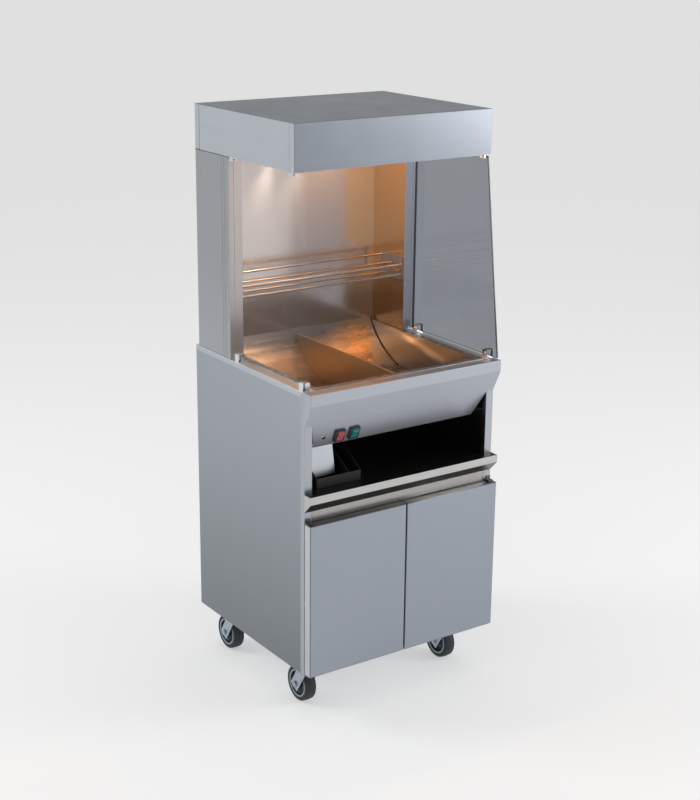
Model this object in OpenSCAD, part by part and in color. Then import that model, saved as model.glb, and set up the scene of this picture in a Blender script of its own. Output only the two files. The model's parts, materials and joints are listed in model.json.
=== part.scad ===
// Chip warmer on casters: cabinet, open recess, sunken chip well and heated canopy.
// X runs to the right, Y to the rear and Z up. The origin is on the floor, under the middle.

/* [Overall] */
// Width over the side panels
unit_w = 600; // [560:10:700]
// Depth from the front lip to the rear edge
unit_d = 570; // [565:5:640]
// Height of the worktop over the floor
worktop_h = 900; // [880:5:960]
// Thickness of the folded steel sheet
sheet = 1.5; // [1:0.25:2]
// Clearance around pieces that lift or slide out
slip_gap = 0.5; // [0.4:0.1:1]
// Running clearance between a pin and its bore, on the radius
run_gap = 0.05; // [0.02:0.01:0.09]
// Clearance between bodies that turn past each other
turn_gap = 0.3; // [0.3:0.1:1]

/* [Casters] */
// Wheel diameter
wheel_d = 100; // [90:2:104]
// Tread width
wheel_w = 32; // [26:1:34]
// Radius of the tyre's shoulders
tyre_round = 6; // [3:0.5:9]
// Diameter where the tyre sits on its hub
tyre_seat_d = 76; // [66:2:80]
// Height from the floor to the cabinet's underside
caster_h = 135; // [130:1:150]
// Distance of a swivel from the side of the cabinet
caster_inset_x = 66; // [55:1:90]
// Distance of the front swivels from the front posts' face
caster_inset_front = 75; // [60:1:110]
// Distance of the rear swivels from the rear edge
caster_inset_rear = 92; // [75:1:120]
// Distance from the swivel to the axle, towards the rear
trail = 38; // [30:1:42]
// Axle diameter
axle_d = 10; // [8:0.5:12]
// Kingpin diameter
kingpin_d = 12; // [10:0.5:14]
// Mounting plate length, front to rear
plate_l = 100; // [90:1:110]
// Mounting plate width
plate_w = 75; // [70:1:85]
// Mounting plate thickness
plate_t = 4; // [3:0.5:5]
// Thickness of the fork's legs
leg_t = 3; // [2:0.25:4]
// Width of the fork's legs
leg_w = 34; // [26:1:38]
// Length of the fork's legs beyond the axle
leg_end = 13; // [10:0.5:16]

/* [Cabinet] */
// Width of a front post's face
post_w = 23; // [18:1:30]
// Depth of a front post's side
post_side = 17; // [12:1:25]
// Height of the base tray's upturned edge
base_edge_h = 30; // [15:1:45]
// Distance of the rear panel inside the rear edge
rear_recess = 20; // [19:1:30]
// Inward fold at the rear of a side panel
side_fold = 18; // [12:1:30]
// Height of the inner shelf over the base tray
inner_shelf_h = 205; // [150:5:260]
// Depth of the folded edge of the inner shelf
inner_shelf_edge = 25; // [15:1:40]
// Distance of the inner shelf behind the front posts
inner_shelf_setback = 30; // [22:1:80]

/* [Doors] */
// Thickness of a door
door_t = 25; // [22:0.5:25]
// Gap between the two doors
door_split = 3; // [2:0.5:5]
// Gap under the doors, over the cabinet's underside
door_low_gap = 3.5; // [3:0.5:6]
// Drop from the recess shelf to the top of the doors
door_drop = 78; // [72:1:95]
// Overlap of the rail behind the tops of the doors
rail_lap = 17; // [12:1:22]
// Depth of the rail's folds
rail_fold = 20; // [12:1:30]
// Hinge pin diameter
hinge_pin_d = 6; // [5:0.5:7]
// Distance of the hinge axis inside the door's outer edge and its rear face
hinge_inset = 6; // [5:0.5:6.5]
// Height of the bearing blocks inside the doors
hinge_block_h = 20; // [15:1:30]
// Length of a hinge pin inside its block
hinge_pin_reach = 12; // [8:1:14]
// Thickness of a hinge lug
lug_t = 2.5; // [2:0.25:2.75]

/* [Front panel] */
// Depth of the flat margin on top of the front panel
front_margin = 30; // [20:1:40]
// Height of the upright lip
lip_face_h = 30; // [20:1:40]
// How far the lip stands in front of the posts
lip_out = 28; // [28:0.5:32]
// Height over which the slope runs back to the posts
lip_slope_h = 59.5; // [50:0.5:70]
// Height of the whole slope under the lip
fascia_h = 129; // [115:1:140]
// Joint between the front panel and the worktop
front_joint = 1; // [0.5:0.1:2]
// Corner cut at the fascia's lower ends
fascia_trim = 24; // [10:1:40]
// Depth of the fold along the fascia's lower edge
fascia_fold = 10; // [5:1:15]

/* [Switches] */
// Distance of the switches' middle from the fascia's lower edge, along the slope
switch_up = 28; // [24:0.5:40]
// Distance of the red switch from the unit's left side
red_switch_x = 117; // [100:1:130]
// Spacing between the two switches
switch_pitch = 44; // [36:1:60]
// Distance of the pilot lamp from the unit's left side
pilot_x = 71; // [45:1:80]
// Bezel width
bezel_w = 31; // [26:1:34]
// Bezel height
bezel_h = 36; // [32:1:40]
// How far a bezel stands out of the fascia
bezel_t = 6; // [3:0.5:8]
// Depth of a switch body behind the fascia
switch_depth = 18; // [16:0.5:19]
// Rocker width
rocker_w = 19; // [15:0.5:21]
// Rocker radius about its pivot
rocker_r = 14.5; // [12:0.5:15]
// Tilt of a rocker to either side of level, in degrees
rocker_tilt = 7; // [4:0.5:9]
// Rocker pivot diameter
rocker_pin_d = 3; // [2:0.25:4]
// Pilot lamp ring diameter
pilot_ring_d = 16; // [13:0.5:20]
// Pilot lamp barrel diameter
pilot_d = 11; // [8:0.5:12]

/* [Recess] */
// Drop from the worktop to the recess shelf
shelf_drop = 265; // [240:1:280]
// Height of the shelf's upright lip
shelf_face_h = 20.5; // [14:0.5:26]
// Height over which the shelf's lip slopes back to the posts
shelf_slope_h = 28.5; // [20:0.5:34]
// Depth of the recess
recess_d = 400; // [330:5:440]
// Drop from the worktop to the heat shield over the recess
shield_drop = 154; // [146:1:165]
// Height of the heat shield's upturned edges
shield_edge = 15; // [8:1:18]
// Width of the switchgear box
box_w = 130; // [110:1:140]
// Distance of the switchgear box's lower front edge behind the lip
box_front = 84; // [80:1:110]
// Lean of the switchgear box's front, over its height
box_lean = 18; // [0:1:30]
// Depth of the switchgear box along its top
box_d = 110; // [70:1:150]
// Height of the switchgear box over the shelf
box_clear = 15; // [5:1:30]

/* [Tool tray] */
// Distance of the tray's left wall from the unit's left side
tray_x = 48; // [40:1:60]
// Width of the wide bay
tray_bay_w = 100; // [80:1:105]
// Width of the narrow bay
tray_slot_w = 35; // [25:1:60]
// Distance of the tray's front behind the lip
tray_front = 45; // [40:1:60]
// Height of the tray's front wall
tray_wall_h = 26; // [15:1:35]
// Length of the narrow bay
tray_l = 150; // [120:1:200]
// Height of the tray's cheeks at the rear
tray_rear_h = 92; // [60:1:94]
// Rake of the cheeks' sloping tops, in degrees
tray_rake = 31; // [20:1:60]
// Wall thickness of the tray
tray_t = 2; // [1.5:0.25:3]

/* [Well] */
// Distance of the well's ends inside the unit's sides
well_inset = 48; // [47:1:80]
// Depth of the well under the worktop
well_depth = 108; // [90:1:120]
// Radius of the curved back
well_r = 221; // [190:1:260]
// Rise of the curved back over the worktop
well_rise = 11; // [5:1:20]
// Distance of the well's front wall behind the lip
well_front = 48; // [45:1:65]
// Radius of the well's front lower corner
well_corner_r = 15; // [8:1:25]
// Width of the rim that rests on the worktop
rim_w = 15; // [8:0.5:15]
// Height of the perforated plates over the well's floor
drain_h = 8; // [5:0.5:15]
// Diameter of the drain holes
drain_hole_d = 8; // [4:0.5:10]
// Spacing of the drain holes
drain_pitch = 34; // [24:1:45]
// Distance of the divider to the left of the middle
divider_off = 8; // [0:1:40]
// Width of the divider's hemmed top
divider_hem_w = 5; // [3:0.5:8]
// Height of the divider's hemmed top
divider_hem_h = 8; // [4:1:14]

/* [Well heater] */
// Diameter of the tubular element
element_d = 8; // [6:0.5:9]
// Length of the element's straight runs
element_run = 200; // [150:5:220]
// Radius of the element's bends
element_bend_r = 22; // [18:1:24]
// Distance of the element's first run behind the well's front wall
element_front = 46; // [42:1:55]
// Number of straight runs
element_runs = 6; // [4:2:6]
// Gap between the element and the well's floor
element_gap = 0.3; // [0.2:0.1:0.5]
// Thickness of the bars that hold the element
clamp_t = 2; // [1.5:0.25:3]
// Width of the thermostat's housing
stat_w = 45; // [35:1:60]
// Depth of the thermostat's housing, front to rear
stat_d = 36; // [25:1:50]
// Length of the thermostat's bulb
bulb_l = 120; // [60:5:160]
// Diameter of the thermostat's bulb
bulb_d = 6; // [4:0.5:7]

/* [Gantry] */
// Height of the open display over the worktop
display_h = 532; // [480:2:580]
// Depth of the cheeks, front to rear
cheek_d = 168; // [140:1:190]
// Distance of the gantry's rear inside the rear edge
gantry_inset = 17; // [10:1:22]
// Thickness of a cheek
cheek_w = 40; // [36:1:50]
// Side of the corner bead on a cheek
bead_w = 15; // [10:1:20]
// Width and depth of the groove beside the bead
groove = 1.2; // [0.8:0.1:1.3]
// Distance from the display's rear wall to the gantry's rear
rear_void = 22; // [20:1:30]

/* [Wire rack] */
// Diameter of the rack's two front rods
rod_d = 7; // [5:0.5:9]
// Diameter of the rack's other rods
thin_rod_d = 5; // [4:0.5:6]
// Step in height between the rack's rods
rack_step = 8; // [6:0.5:12]
// Height of the upper rods over the worktop
rack_h = 187; // [150:1:260]
// Height between the upper and lower front rods
rack_guard_h = 27; // [18:1:40]
// Distance of the first rod behind the cheeks' front
rack_front = 12; // [9:1:20]
// Spacing of the upper rods, front to rear
rack_pitch = 44; // [38:1:46]
// Thickness of the rack's end plates
rack_end_t = 3; // [2:0.5:4]

/* [Glass] */
// Glass thickness
glass_t = 6; // [4:0.5:8]
// Distance of the glass inside the unit's side
glass_inset = 1; // [0.5:0.5:3]
// Distance of the glass's lower front corner behind the lip
glass_front_low = 12; // [5:1:20]
// Gap under the glass
glass_lift = 3; // [2:0.5:5]
// Width of a glass clip, front to rear
clip_l = 18; // [12:1:24]
// Height of a glass clip
clip_h = 22; // [16:1:28]
// Thickness of a clip's inner jaw
clip_jaw = 14; // [8:1:18]
// Height of the smaller clips under the canopy
clip_top_h = 10; // [8:0.5:14]
// Thickness of their inner jaw
clip_top_jaw = 8; // [6:0.5:12]
// Distance of the front clips behind the lip
clip_front = 45; // [34:1:60]
// Distance of the lower rear clips in front of the cheeks
clip_rear = 32; // [13:1:50]
// Distance of the upper rear clips in front of the cheeks
clip_rear_top = 14; // [13:1:50]

/* [Canopy] */
// Height of the canopy
canopy_h = 117; // [105:1:140]
// Distance of the canopy's front behind the lip
canopy_front = 74; // [70:1:90]
// Depth of the front's folds around the canopy's sides
canopy_fold = 22; // [12:1:30]
// Joint between the canopy's sides and the folds
canopy_joint = 1; // [0.5:0.1:2]
// Length of the lamp troughs
trough_l = 430; // [360:5:470]
// Width of a lamp trough's mouth
trough_w = 70; // [50:1:80]
// Height of a lamp trough
trough_h = 45; // [34:1:60]
// Distance of the front trough's middle behind the canopy's front
trough_front = 130; // [90:1:150]
// Spacing of the troughs
trough_pitch = 190; // [120:1:220]
// Diameter of a quartz lamp
lamp_d = 12; // [8:0.5:14]
// Length of a lamp holder
holder_l = 24; // [15:1:35]

/* [Supply] */
// Diameter of the cable's way through the gland
cable_bore_d = 9.2; // [6:0.2:12]
// Diameter of the gland's thread
gland_d = 20; // [18:0.5:25]
// Height of the gland over the floor
gland_z = 200; // [180:5:300]
// Distance of the gland inside the unit's right side
gland_inset = 100; // [60:5:200]

/* [Hidden] */
$fn = 48;

// Planes that the pieces share
half_w = unit_w / 2;
front_y = -unit_d / 2;
rear_y = unit_d / 2;
post_y = front_y + lip_out;
cab_z = caster_h;
under_top_z = worktop_h - sheet;
inner_x = half_w - sheet;
bay_x = half_w - post_w - slip_gap;
shelf_z = worktop_h - shelf_drop;
shield_z = worktop_h - shield_drop;
tray_z = shelf_z + turn_gap;
rear_panel_y = rear_y - rear_recess;
gland_x = half_w - gland_inset;
eps = 0.01;

// Slope of the front panel
slope_run = lip_out / lip_slope_h;
slope_a = atan(slope_run);
slope_top_z = worktop_h - lip_face_h;
fascia_z = slope_top_z - fascia_h;
fascia_t = sheet / cos(slope_a);
fascia_l = fascia_h / cos(slope_a);
fascia_y = front_y + fascia_h * slope_run;
shield_y = fascia_y + fascia_fold + 1;

// Doors
door_z0 = cab_z + door_low_gap;
door_z1 = shelf_z - door_drop;
door_y1 = front_y + door_t;
rail_z0 = door_z1 - rail_lap;
rail_z1 = shelf_z - shelf_face_h - shelf_slope_h;
hinge_x = half_w - hinge_inset;
hinge_y = door_y1 - hinge_inset;

// Casters
axle_z = wheel_d / 2;
fork_in = wheel_w / 2 + 3;
fork_out = fork_in + leg_t;
crown_z = wheel_d + 6;
crown_t = 4;
crown_r = 26;
race_z = crown_z + crown_t;
race_h = (caster_h - plate_t - race_z) * 0.4;
caster_x = half_w - caster_inset_x;
caster_y_front = post_y + caster_inset_front;
caster_y_rear = rear_y - caster_inset_rear;

// Gantry's planes
gantry_y = rear_y - gantry_inset;
display_y = gantry_y - rear_void;
cheek_y = gantry_y - cheek_d;
cheek_in = half_w - cheek_w;

// Well
well_half = half_w - well_inset;
well_back_y = display_y;
well_end_a = acos(1 - (well_depth + well_rise) / well_r);
well_axis_y = well_back_y - well_r * sin(well_end_a);
well_axis_z = worktop_h - well_depth + well_r;
well_floor_z = worktop_h - well_depth;
well_y = front_y + well_front;
drain_z = well_floor_z + drain_h;
drain_low = drain_h - sheet;
drain_y0 = well_y + well_corner_r - sqrt(pow(well_corner_r, 2) - pow(well_corner_r - drain_low, 2)) + 1;
drain_y1 = well_axis_y + sqrt(pow(well_r, 2) - pow(well_r - drain_low, 2)) - 2;

// Canopy and glass
canopy_z = worktop_h + display_h;
canopy_top = canopy_z + canopy_h;
canopy_y = front_y + canopy_front;
glass_x = half_w - glass_inset - glass_t;
glass_z0 = worktop_h + glass_lift;
glass_z1 = canopy_z - glass_lift;
glass_top_y = canopy_y + sheet + 4;

// A box between two corners
module slab(x0, x1, y0, y1, z0, z1) {
    translate([x0, y0, z0]) cube([x1 - x0, y1 - y0, z1 - z0]);
}

// A profile of Y and Z points, drawn out along X
module along_x(x0, x1) {
    translate([x0, 0, 0]) rotate([90, 0, 90]) linear_extrude(x1 - x0) children();
}

// A rod along X
module rod_x(x0, x1, y, z, r) {
    translate([x0, y, z]) rotate([0, 90, 0]) cylinder(r = r, h = x1 - x0);
}

// The same piece on the right and, mirrored, on the left
module both_sides() {
    children();
    mirror([1, 0, 0]) children();
}

// Base tray with upturned edges, notched around the front posts
module base_tray() {
    color("silver") difference() {
        union() {
            slab(-inner_x, inner_x, post_y + post_side, rear_panel_y, cab_z, cab_z + base_edge_h);
            slab(-bay_x, bay_x, post_y, post_y + post_side + 1, cab_z, cab_z + base_edge_h);
        }
        slab(-inner_x + sheet, inner_x - sheet, post_y + post_side + sheet, rear_panel_y - sheet,
            cab_z + sheet, cab_z + base_edge_h + 1);
        slab(-bay_x + sheet, bay_x - sheet, post_y + sheet, post_y + post_side + sheet + 1,
            cab_z + sheet, cab_z + base_edge_h + 1);
    }
}

// Side panel with an inward fold at the rear
module side_panel() {
    color("lightsteelblue") {
        slab(inner_x, half_w, post_y + post_side, rear_y, cab_z, under_top_z);
        slab(half_w - side_fold, inner_x + eps, rear_y - sheet, rear_y, cab_z, under_top_z);
    }
}

module side_panel_left() { mirror([1, 0, 0]) side_panel(); }
module side_panel_right() { side_panel(); }

// Folded corner post beside the doors and the recess
module front_post() {
    color("silver") difference() {
        slab(half_w - post_w, half_w, post_y, post_y + post_side, cab_z, under_top_z);
        slab(half_w - post_w + sheet, half_w - sheet, post_y + sheet, post_y + post_side + 1,
            cab_z - 1, under_top_z + 1);
    }
}

module front_post_left() { mirror([1, 0, 0]) front_post(); }
module front_post_right() { front_post(); }

// Rear panel with louvre slots and the gland's hole
module rear_panel() {
    slot_n = 7;
    slot_pitch = 22;
    slot_w = 8;
    slot_l = 150;
    slot_top = 60;
    slot_x = 130;
    color("silver") difference() {
        slab(-inner_x, inner_x, rear_panel_y, rear_panel_y + sheet, cab_z, under_top_z);
        for (side = [-1, 1], i = [0:slot_n - 1])
            slab(side * slot_x - slot_l / 2, side * slot_x + slot_l / 2, rear_panel_y - 1, rear_panel_y + sheet + 1,
                under_top_z - slot_top - i * slot_pitch - slot_w, under_top_z - slot_top - i * slot_pitch);
        translate([gland_x, rear_panel_y - 1, gland_z]) rotate([-90, 0, 0]) cylinder(d = gland_d, h = sheet + 2);
    }
}

// Folded rail behind the finger gap over the doors
module door_rail() {
    color("lightgray") difference() {
        slab(-bay_x, bay_x, post_y, post_y + rail_fold, rail_z0, rail_z1);
        slab(-bay_x - 1, bay_x + 1, post_y + sheet, post_y + rail_fold + 1, rail_z0 + sheet, rail_z1 - sheet);
    }
}

// Recess shelf with its upright and sloping lip
module recess_shelf() {
    face_z = shelf_z - shelf_face_h;
    color("gainsboro") {
        slab(-half_w, half_w, front_y, post_y, shelf_z - sheet, shelf_z);
        slab(-bay_x, bay_x, post_y - eps, post_y + post_side + eps, shelf_z - sheet, shelf_z);
        slab(-inner_x, inner_x, post_y + post_side, front_y + recess_d, shelf_z - sheet, shelf_z);
        slab(-half_w, half_w, front_y, front_y + sheet, face_z, shelf_z);
        along_x(-half_w, half_w) polygon([
            [front_y, face_z], [post_y, rail_z1], [post_y, rail_z1 + 2 * sheet], [front_y + sheet, face_z + sheet]
        ]);
        both_sides() along_x(half_w - sheet, half_w) polygon([
            [front_y, shelf_z], [front_y, face_z], [post_y, rail_z1], [post_y, shelf_z]
        ]);
    }
}

// Rear wall of the recess
module recess_back() {
    color("dimgray") slab(-inner_x, inner_x, front_y + recess_d, front_y + recess_d + sheet,
        shelf_z - sheet, shield_z);
}

// Shield between the well's heater and the recess
module heat_shield() {
    color("gray") difference() {
        slab(-inner_x, inner_x, shield_y, rear_panel_y, shield_z, shield_z + shield_edge);
        slab(-inner_x + sheet, inner_x - sheet, shield_y - 1, rear_panel_y - sheet,
            shield_z + sheet, shield_z + shield_edge + 1);
        slab(-inner_x - 1, inner_x + 1, shield_y - 1, shield_y + switch_depth + shield_edge,
            shield_z + sheet, shield_z + shield_edge + 1);
    }
}

// Loose shelf on its four pegs inside the cabinet
module inner_shelf() {
    z = cab_z + inner_shelf_h;
    peg_r = 4;
    peg_l = 14;
    peg_in = 60;
    color("silver") difference() {
        slab(-inner_x + slip_gap, inner_x - slip_gap, post_y + inner_shelf_setback, rear_panel_y - slip_gap,
            z, z + inner_shelf_edge);
        slab(-inner_x + slip_gap + sheet, inner_x - slip_gap - sheet, post_y + inner_shelf_setback + sheet,
            rear_panel_y - slip_gap - sheet, z - 1, z + inner_shelf_edge - sheet);
    }
    color("darkgray") for (side = [-1, 1], y = [post_y + inner_shelf_setback + peg_in, rear_panel_y - peg_in])
        rod_x(side > 0 ? inner_x - peg_l : -inner_x, side > 0 ? inner_x : -inner_x + peg_l, y, z - peg_r, peg_r);
}

// Worktop plate with the well's opening
module worktop() {
    color("lightgray") difference() {
        slab(-half_w, half_w, front_y + front_margin + front_joint, rear_y, under_top_z, worktop_h);
        slab(-well_half - sheet - slip_gap, well_half + sheet + slip_gap, well_y - sheet - slip_gap,
            well_back_y + sheet, under_top_z - 1, worktop_h + 1);
    }
}

// Places its children on the fascia's outer face, a distance along the slope from its lower edge
module on_fascia(x, up) {
    translate([x, front_y + (fascia_l - up) * sin(slope_a), slope_top_z - (fascia_l - up) * cos(slope_a)])
        rotate([90 + slope_a, 0, 0]) children();
}

// Outline of the sloping sheet, seen from the side
module fascia_section() {
    polygon([
        [front_y, slope_top_z],
        [fascia_y, fascia_z],
        [fascia_y + fascia_t, fascia_z],
        [front_y + fascia_t, slope_top_z]
    ]);
}

// Margin, lip and sloping fascia in one folded sheet, with closed ends
module front_panel() {
    color("lightsteelblue") difference() {
        union() {
            slab(-half_w, half_w, front_y, front_y + front_margin, under_top_z, worktop_h);
            slab(-half_w, half_w, front_y, front_y + sheet, slope_top_z, worktop_h);
            intersection() {
                along_x(-half_w, half_w) fascia_section();
                slab(-half_w - 1, half_w + 1, front_y - 1, post_y, fascia_z - 1, worktop_h);
            }
            along_x(-bay_x, bay_x) fascia_section();
            slab(-bay_x + fascia_trim, bay_x - fascia_trim, fascia_y, fascia_y + fascia_fold, fascia_z, fascia_z + sheet);
            both_sides() intersection() {
                slab(half_w - sheet, half_w, front_y, post_y, fascia_z, worktop_h);
                along_x(half_w - sheet, half_w) polygon([
                    [front_y, worktop_h], [front_y, slope_top_z],
                    [fascia_y, fascia_z], [fascia_y, worktop_h]
                ]);
            }
        }
        both_sides() fascia_corner_cut();
        on_fascia(-half_w + red_switch_x, switch_up) switch_cutout();
        on_fascia(-half_w + red_switch_x + switch_pitch, switch_up) switch_cutout();
        on_fascia(-half_w + pilot_x, switch_up) translate([0, 0, -sheet - 1])
            cylinder(d = pilot_d + 2 * run_gap, h = sheet + 2);
    }
}

// Wedge that trims the fascia's lower corner clear of the post
module fascia_corner_cut() {
    translate([0, rear_y, 0]) rotate([90, 0, 0]) linear_extrude(rear_y - post_y) polygon([
        [bay_x + 1, fascia_z - 1], [bay_x - fascia_trim, fascia_z - 1],
        [bay_x - fascia_trim, fascia_z], [bay_x + 1, slope_top_z - lip_slope_h]
    ]);
}

// Size of a switch body where it passes through the fascia
cutout_w = rocker_w + 5;
cutout_h = 2 * rocker_r + 4;

module switch_cutout() {
    translate([-cutout_w / 2, -cutout_h / 2, -sheet - 1]) cube([cutout_w, cutout_h, sheet + 2]);
}

// Rounded bezel, open body and pivot bores of a rocker switch
module switch_body() {
    edge_r = 3;
    difference() {
        union() {
            for (x = [-1, 1], y = [-1, 1])
                translate([x * (bezel_w / 2 - edge_r), y * (bezel_h / 2 - edge_r), 0])
                    cylinder(r = edge_r, h = bezel_t);
            translate([-bezel_w / 2 + edge_r, -bezel_h / 2, 0]) cube([bezel_w - 2 * edge_r, bezel_h, bezel_t]);
            translate([-bezel_w / 2, -bezel_h / 2 + edge_r, 0]) cube([bezel_w, bezel_h - 2 * edge_r, bezel_t]);
            translate([-cutout_w / 2, -cutout_h / 2, -switch_depth]) cube([cutout_w, cutout_h, switch_depth + 1]);
        }
        translate([-rocker_w / 2 - turn_gap, -rocker_r - turn_gap, -rocker_r])
            cube([rocker_w + 2 * turn_gap, 2 * (rocker_r + turn_gap), bezel_t + rocker_r + 1]);
        rod_x(-cutout_w / 2 - 1, cutout_w / 2 + 1, 0, 0, rocker_pin_d / 2 + run_gap);
    }
    for (x = [-6, 6]) translate([x - 0.4, -3, -switch_depth - 8]) cube([0.8, 6, 8 + eps]);
}

// Rocker with a shallow V face, in its off position with the lower end pressed in
module rocker() {
    face_h = bezel_t + 2.5;
    rotate([rocker_tilt, 0, 0]) {
        intersection() {
            rod_x(-rocker_w / 2, rocker_w / 2, 0, 0, rocker_r);
            along_x(-rocker_w / 2, rocker_w / 2) polygon([
                [-rocker_r - 1, -3], [rocker_r + 1, -3],
                [rocker_r + 1, face_h + (rocker_r + 1) * tan(rocker_tilt)],
                [0, face_h],
                [-rocker_r - 1, face_h + (rocker_r + 1) * tan(rocker_tilt)]
            ]);
        }
        rod_x(-cutout_w / 2, cutout_w / 2, 0, 0, rocker_pin_d / 2);
    }
}

module red_switch_body() {
    color("black") on_fascia(-half_w + red_switch_x, switch_up) switch_body();
}

module red_rocker() {
    color("firebrick") on_fascia(-half_w + red_switch_x, switch_up) rocker();
}

module green_switch_body() {
    color("black") on_fascia(-half_w + red_switch_x + switch_pitch, switch_up) switch_body();
}

module green_rocker() {
    color("seagreen") on_fascia(-half_w + red_switch_x + switch_pitch, switch_up) rocker();
}

// Pilot lamp: ring, barrel, nut and a domed lens
module pilot_lamp() {
    ring_t = 2;
    barrel_l = 22;
    lens_d = pilot_d - 2;
    color("silver") on_fascia(-half_w + pilot_x, switch_up) difference() {
        union() {
            cylinder(d = pilot_ring_d, h = ring_t);
            translate([0, 0, -barrel_l]) cylinder(d = pilot_d, h = barrel_l + eps);
            translate([0, 0, -sheet - 4]) cylinder(d = pilot_ring_d, h = 4, $fn = 6);
        }
        translate([0, 0, -4]) cylinder(d = lens_d, h = ring_t + 5);
    }
    color("darkred") on_fascia(-half_w + pilot_x, switch_up) translate([0, 0, -4]) {
        cylinder(d = lens_d - 2 * run_gap, h = 4);
        translate([0, 0, 4]) intersection() {
            translate([0, 0, -lens_d]) sphere(r = lens_d + 1.2);
            cylinder(d = lens_d - 2 * run_gap, h = 3);
        }
    }
}

// Closed steel box for terminals, with a leaning front
module switchgear_box() {
    z0 = shelf_z + box_clear;
    y0 = front_y + box_front;
    x1 = -half_w + box_w;
    color("whitesmoke") difference() {
        along_x(-inner_x, x1) polygon([
            [y0, z0], [y0 + box_lean, shield_z], [y0 + box_lean + box_d, shield_z], [y0 + box_lean + box_d, z0]
        ]);
        along_x(-inner_x + sheet, x1 - sheet) polygon([
            [y0 + 2 * sheet, z0 + sheet], [y0 + box_lean + sheet, shield_z - sheet],
            [y0 + box_lean + box_d - sheet, shield_z - sheet], [y0 + box_lean + box_d - sheet, z0 + sheet]
        ]);
    }
}

// Side outline of the tool tray: low front, cheeks rising to the rear
module tray_cheek(l) {
    y0 = front_y + tray_front;
    rise = tray_rear_h - tray_wall_h;
    run = rise / tan(tray_rake);
    top = min(l, run);
    polygon([
        [y0, tray_z], [y0, tray_z + tray_wall_h],
        [y0 + top, tray_z + tray_wall_h + rise * top / run],
        [y0 + l, tray_z + tray_wall_h + rise * top / run], [y0 + l, tray_z]
    ]);
}

// Black tray on the recess shelf with a wide bay and a narrow bay
module tool_tray() {
    y0 = front_y + tray_front;
    bay_l = box_front - tray_front - 3;
    x0 = -half_w + tray_x;
    x1 = x0 + tray_bay_w;
    x2 = x1 + tray_slot_w;
    color("black") {
        slab(x0, x1, y0, y0 + bay_l, tray_z, tray_z + tray_t);
        slab(x1 - tray_t, x2, y0, y0 + tray_l, tray_z, tray_z + tray_t);
        slab(x0, x2, y0, y0 + tray_t, tray_z, tray_z + tray_wall_h);
        along_x(x0, x0 + tray_t) tray_cheek(bay_l);
        along_x(x1 - tray_t, x1) tray_cheek(tray_l);
        along_x(x2 - tray_t, x2) tray_cheek(tray_l);
        slab(x1 - tray_t, x2, y0 + tray_l - tray_t, y0 + tray_l, tray_z, tray_z + tray_rear_h);
    }
}

// Door pan for the right-hand door, with pin holes in its upper and lower edges
module door_skin() {
    color("lightsteelblue") difference() {
        slab(door_split / 2, half_w, front_y, door_y1, door_z0, door_z1);
        slab(door_split / 2 + sheet, half_w - sheet, front_y + sheet, door_y1 + 1, door_z0 + sheet, door_z1 - sheet);
        translate([hinge_x, hinge_y, door_z0 - 1]) cylinder(d = hinge_pin_d + 2 * run_gap, h = door_z1 - door_z0 + 2);
    }
}

// Inner sheet of a door, with the hinge's bearing blocks welded on
module door_liner() {
    block_in = 2 * hinge_inset + 6;
    color("silver") difference() {
        union() {
            slab(door_split / 2 + sheet, half_w - sheet, door_y1 - sheet, door_y1, door_z0 + sheet, door_z1 - sheet);
            for (z = [door_z0 + sheet, door_z1 - sheet - hinge_block_h])
                slab(half_w - block_in, half_w - sheet, hinge_y - hinge_inset, door_y1 - sheet + eps,
                    z, z + hinge_block_h);
        }
        translate([hinge_x, hinge_y, door_z0 - 1]) cylinder(d = hinge_pin_d + 2 * run_gap, h = door_z1 - door_z0 + 2);
    }
}

module left_door_skin() { mirror([1, 0, 0]) door_skin(); }
module left_door_liner() { mirror([1, 0, 0]) door_liner(); }
module right_door_skin() { door_skin(); }
module right_door_liner() { door_liner(); }

// Lug and pin over or under a door; up is 1 for the upper hinge
module hinge_lug(up) {
    lug_z = up > 0 ? door_z1 + turn_gap : door_z0 - turn_gap - lug_t;
    leaf_h = 12;
    lug_w = 2 * hinge_inset + 4;
    color("gray") {
        slab(half_w - lug_w, half_w - 0.5, hinge_y - hinge_inset, post_y, lug_z, lug_z + lug_t);
        if (up > 0)
            slab(half_w - lug_w, half_w - 0.5, post_y - 2, post_y, lug_z, lug_z + leaf_h);
        translate([hinge_x, hinge_y, up > 0 ? lug_z - hinge_pin_reach : lug_z])
            cylinder(d = hinge_pin_d, h = hinge_pin_reach + lug_t);
    }
}

module door_hinges() {
    both_sides() {
        hinge_lug(1);
        hinge_lug(-1);
    }
}

// Two magnetic catches under the rail
module magnet_catches() {
    catch_w = 40;
    catch_h = 16;
    catch_x = 30;
    color("dimgray") both_sides() slab(catch_x, catch_x + catch_w, door_y1 + turn_gap, post_y + post_side,
        rail_z0 - catch_h, rail_z0);
}

// Section of the well between its walls, up to a height over the floor
module well_section(grow, top_z) {
    r = well_corner_r + grow;
    intersection() {
        union() {
            translate([well_y - grow + r, well_floor_z - grow]) square([well_axis_y - well_y + grow - r + eps, well_depth * 2]);
            translate([well_y - grow, well_floor_z - grow + r]) square([r + eps, well_depth * 2]);
            translate([well_y - grow + r, well_floor_z - grow + r]) circle(r = r);
            translate([well_axis_y, well_axis_z]) circle(r = well_r + grow, $fn = 96);
        }
        translate([well_y - grow, well_floor_z - grow])
            square([well_back_y + grow - well_y + grow, top_z - well_floor_z + grow]);
    }
}

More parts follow.
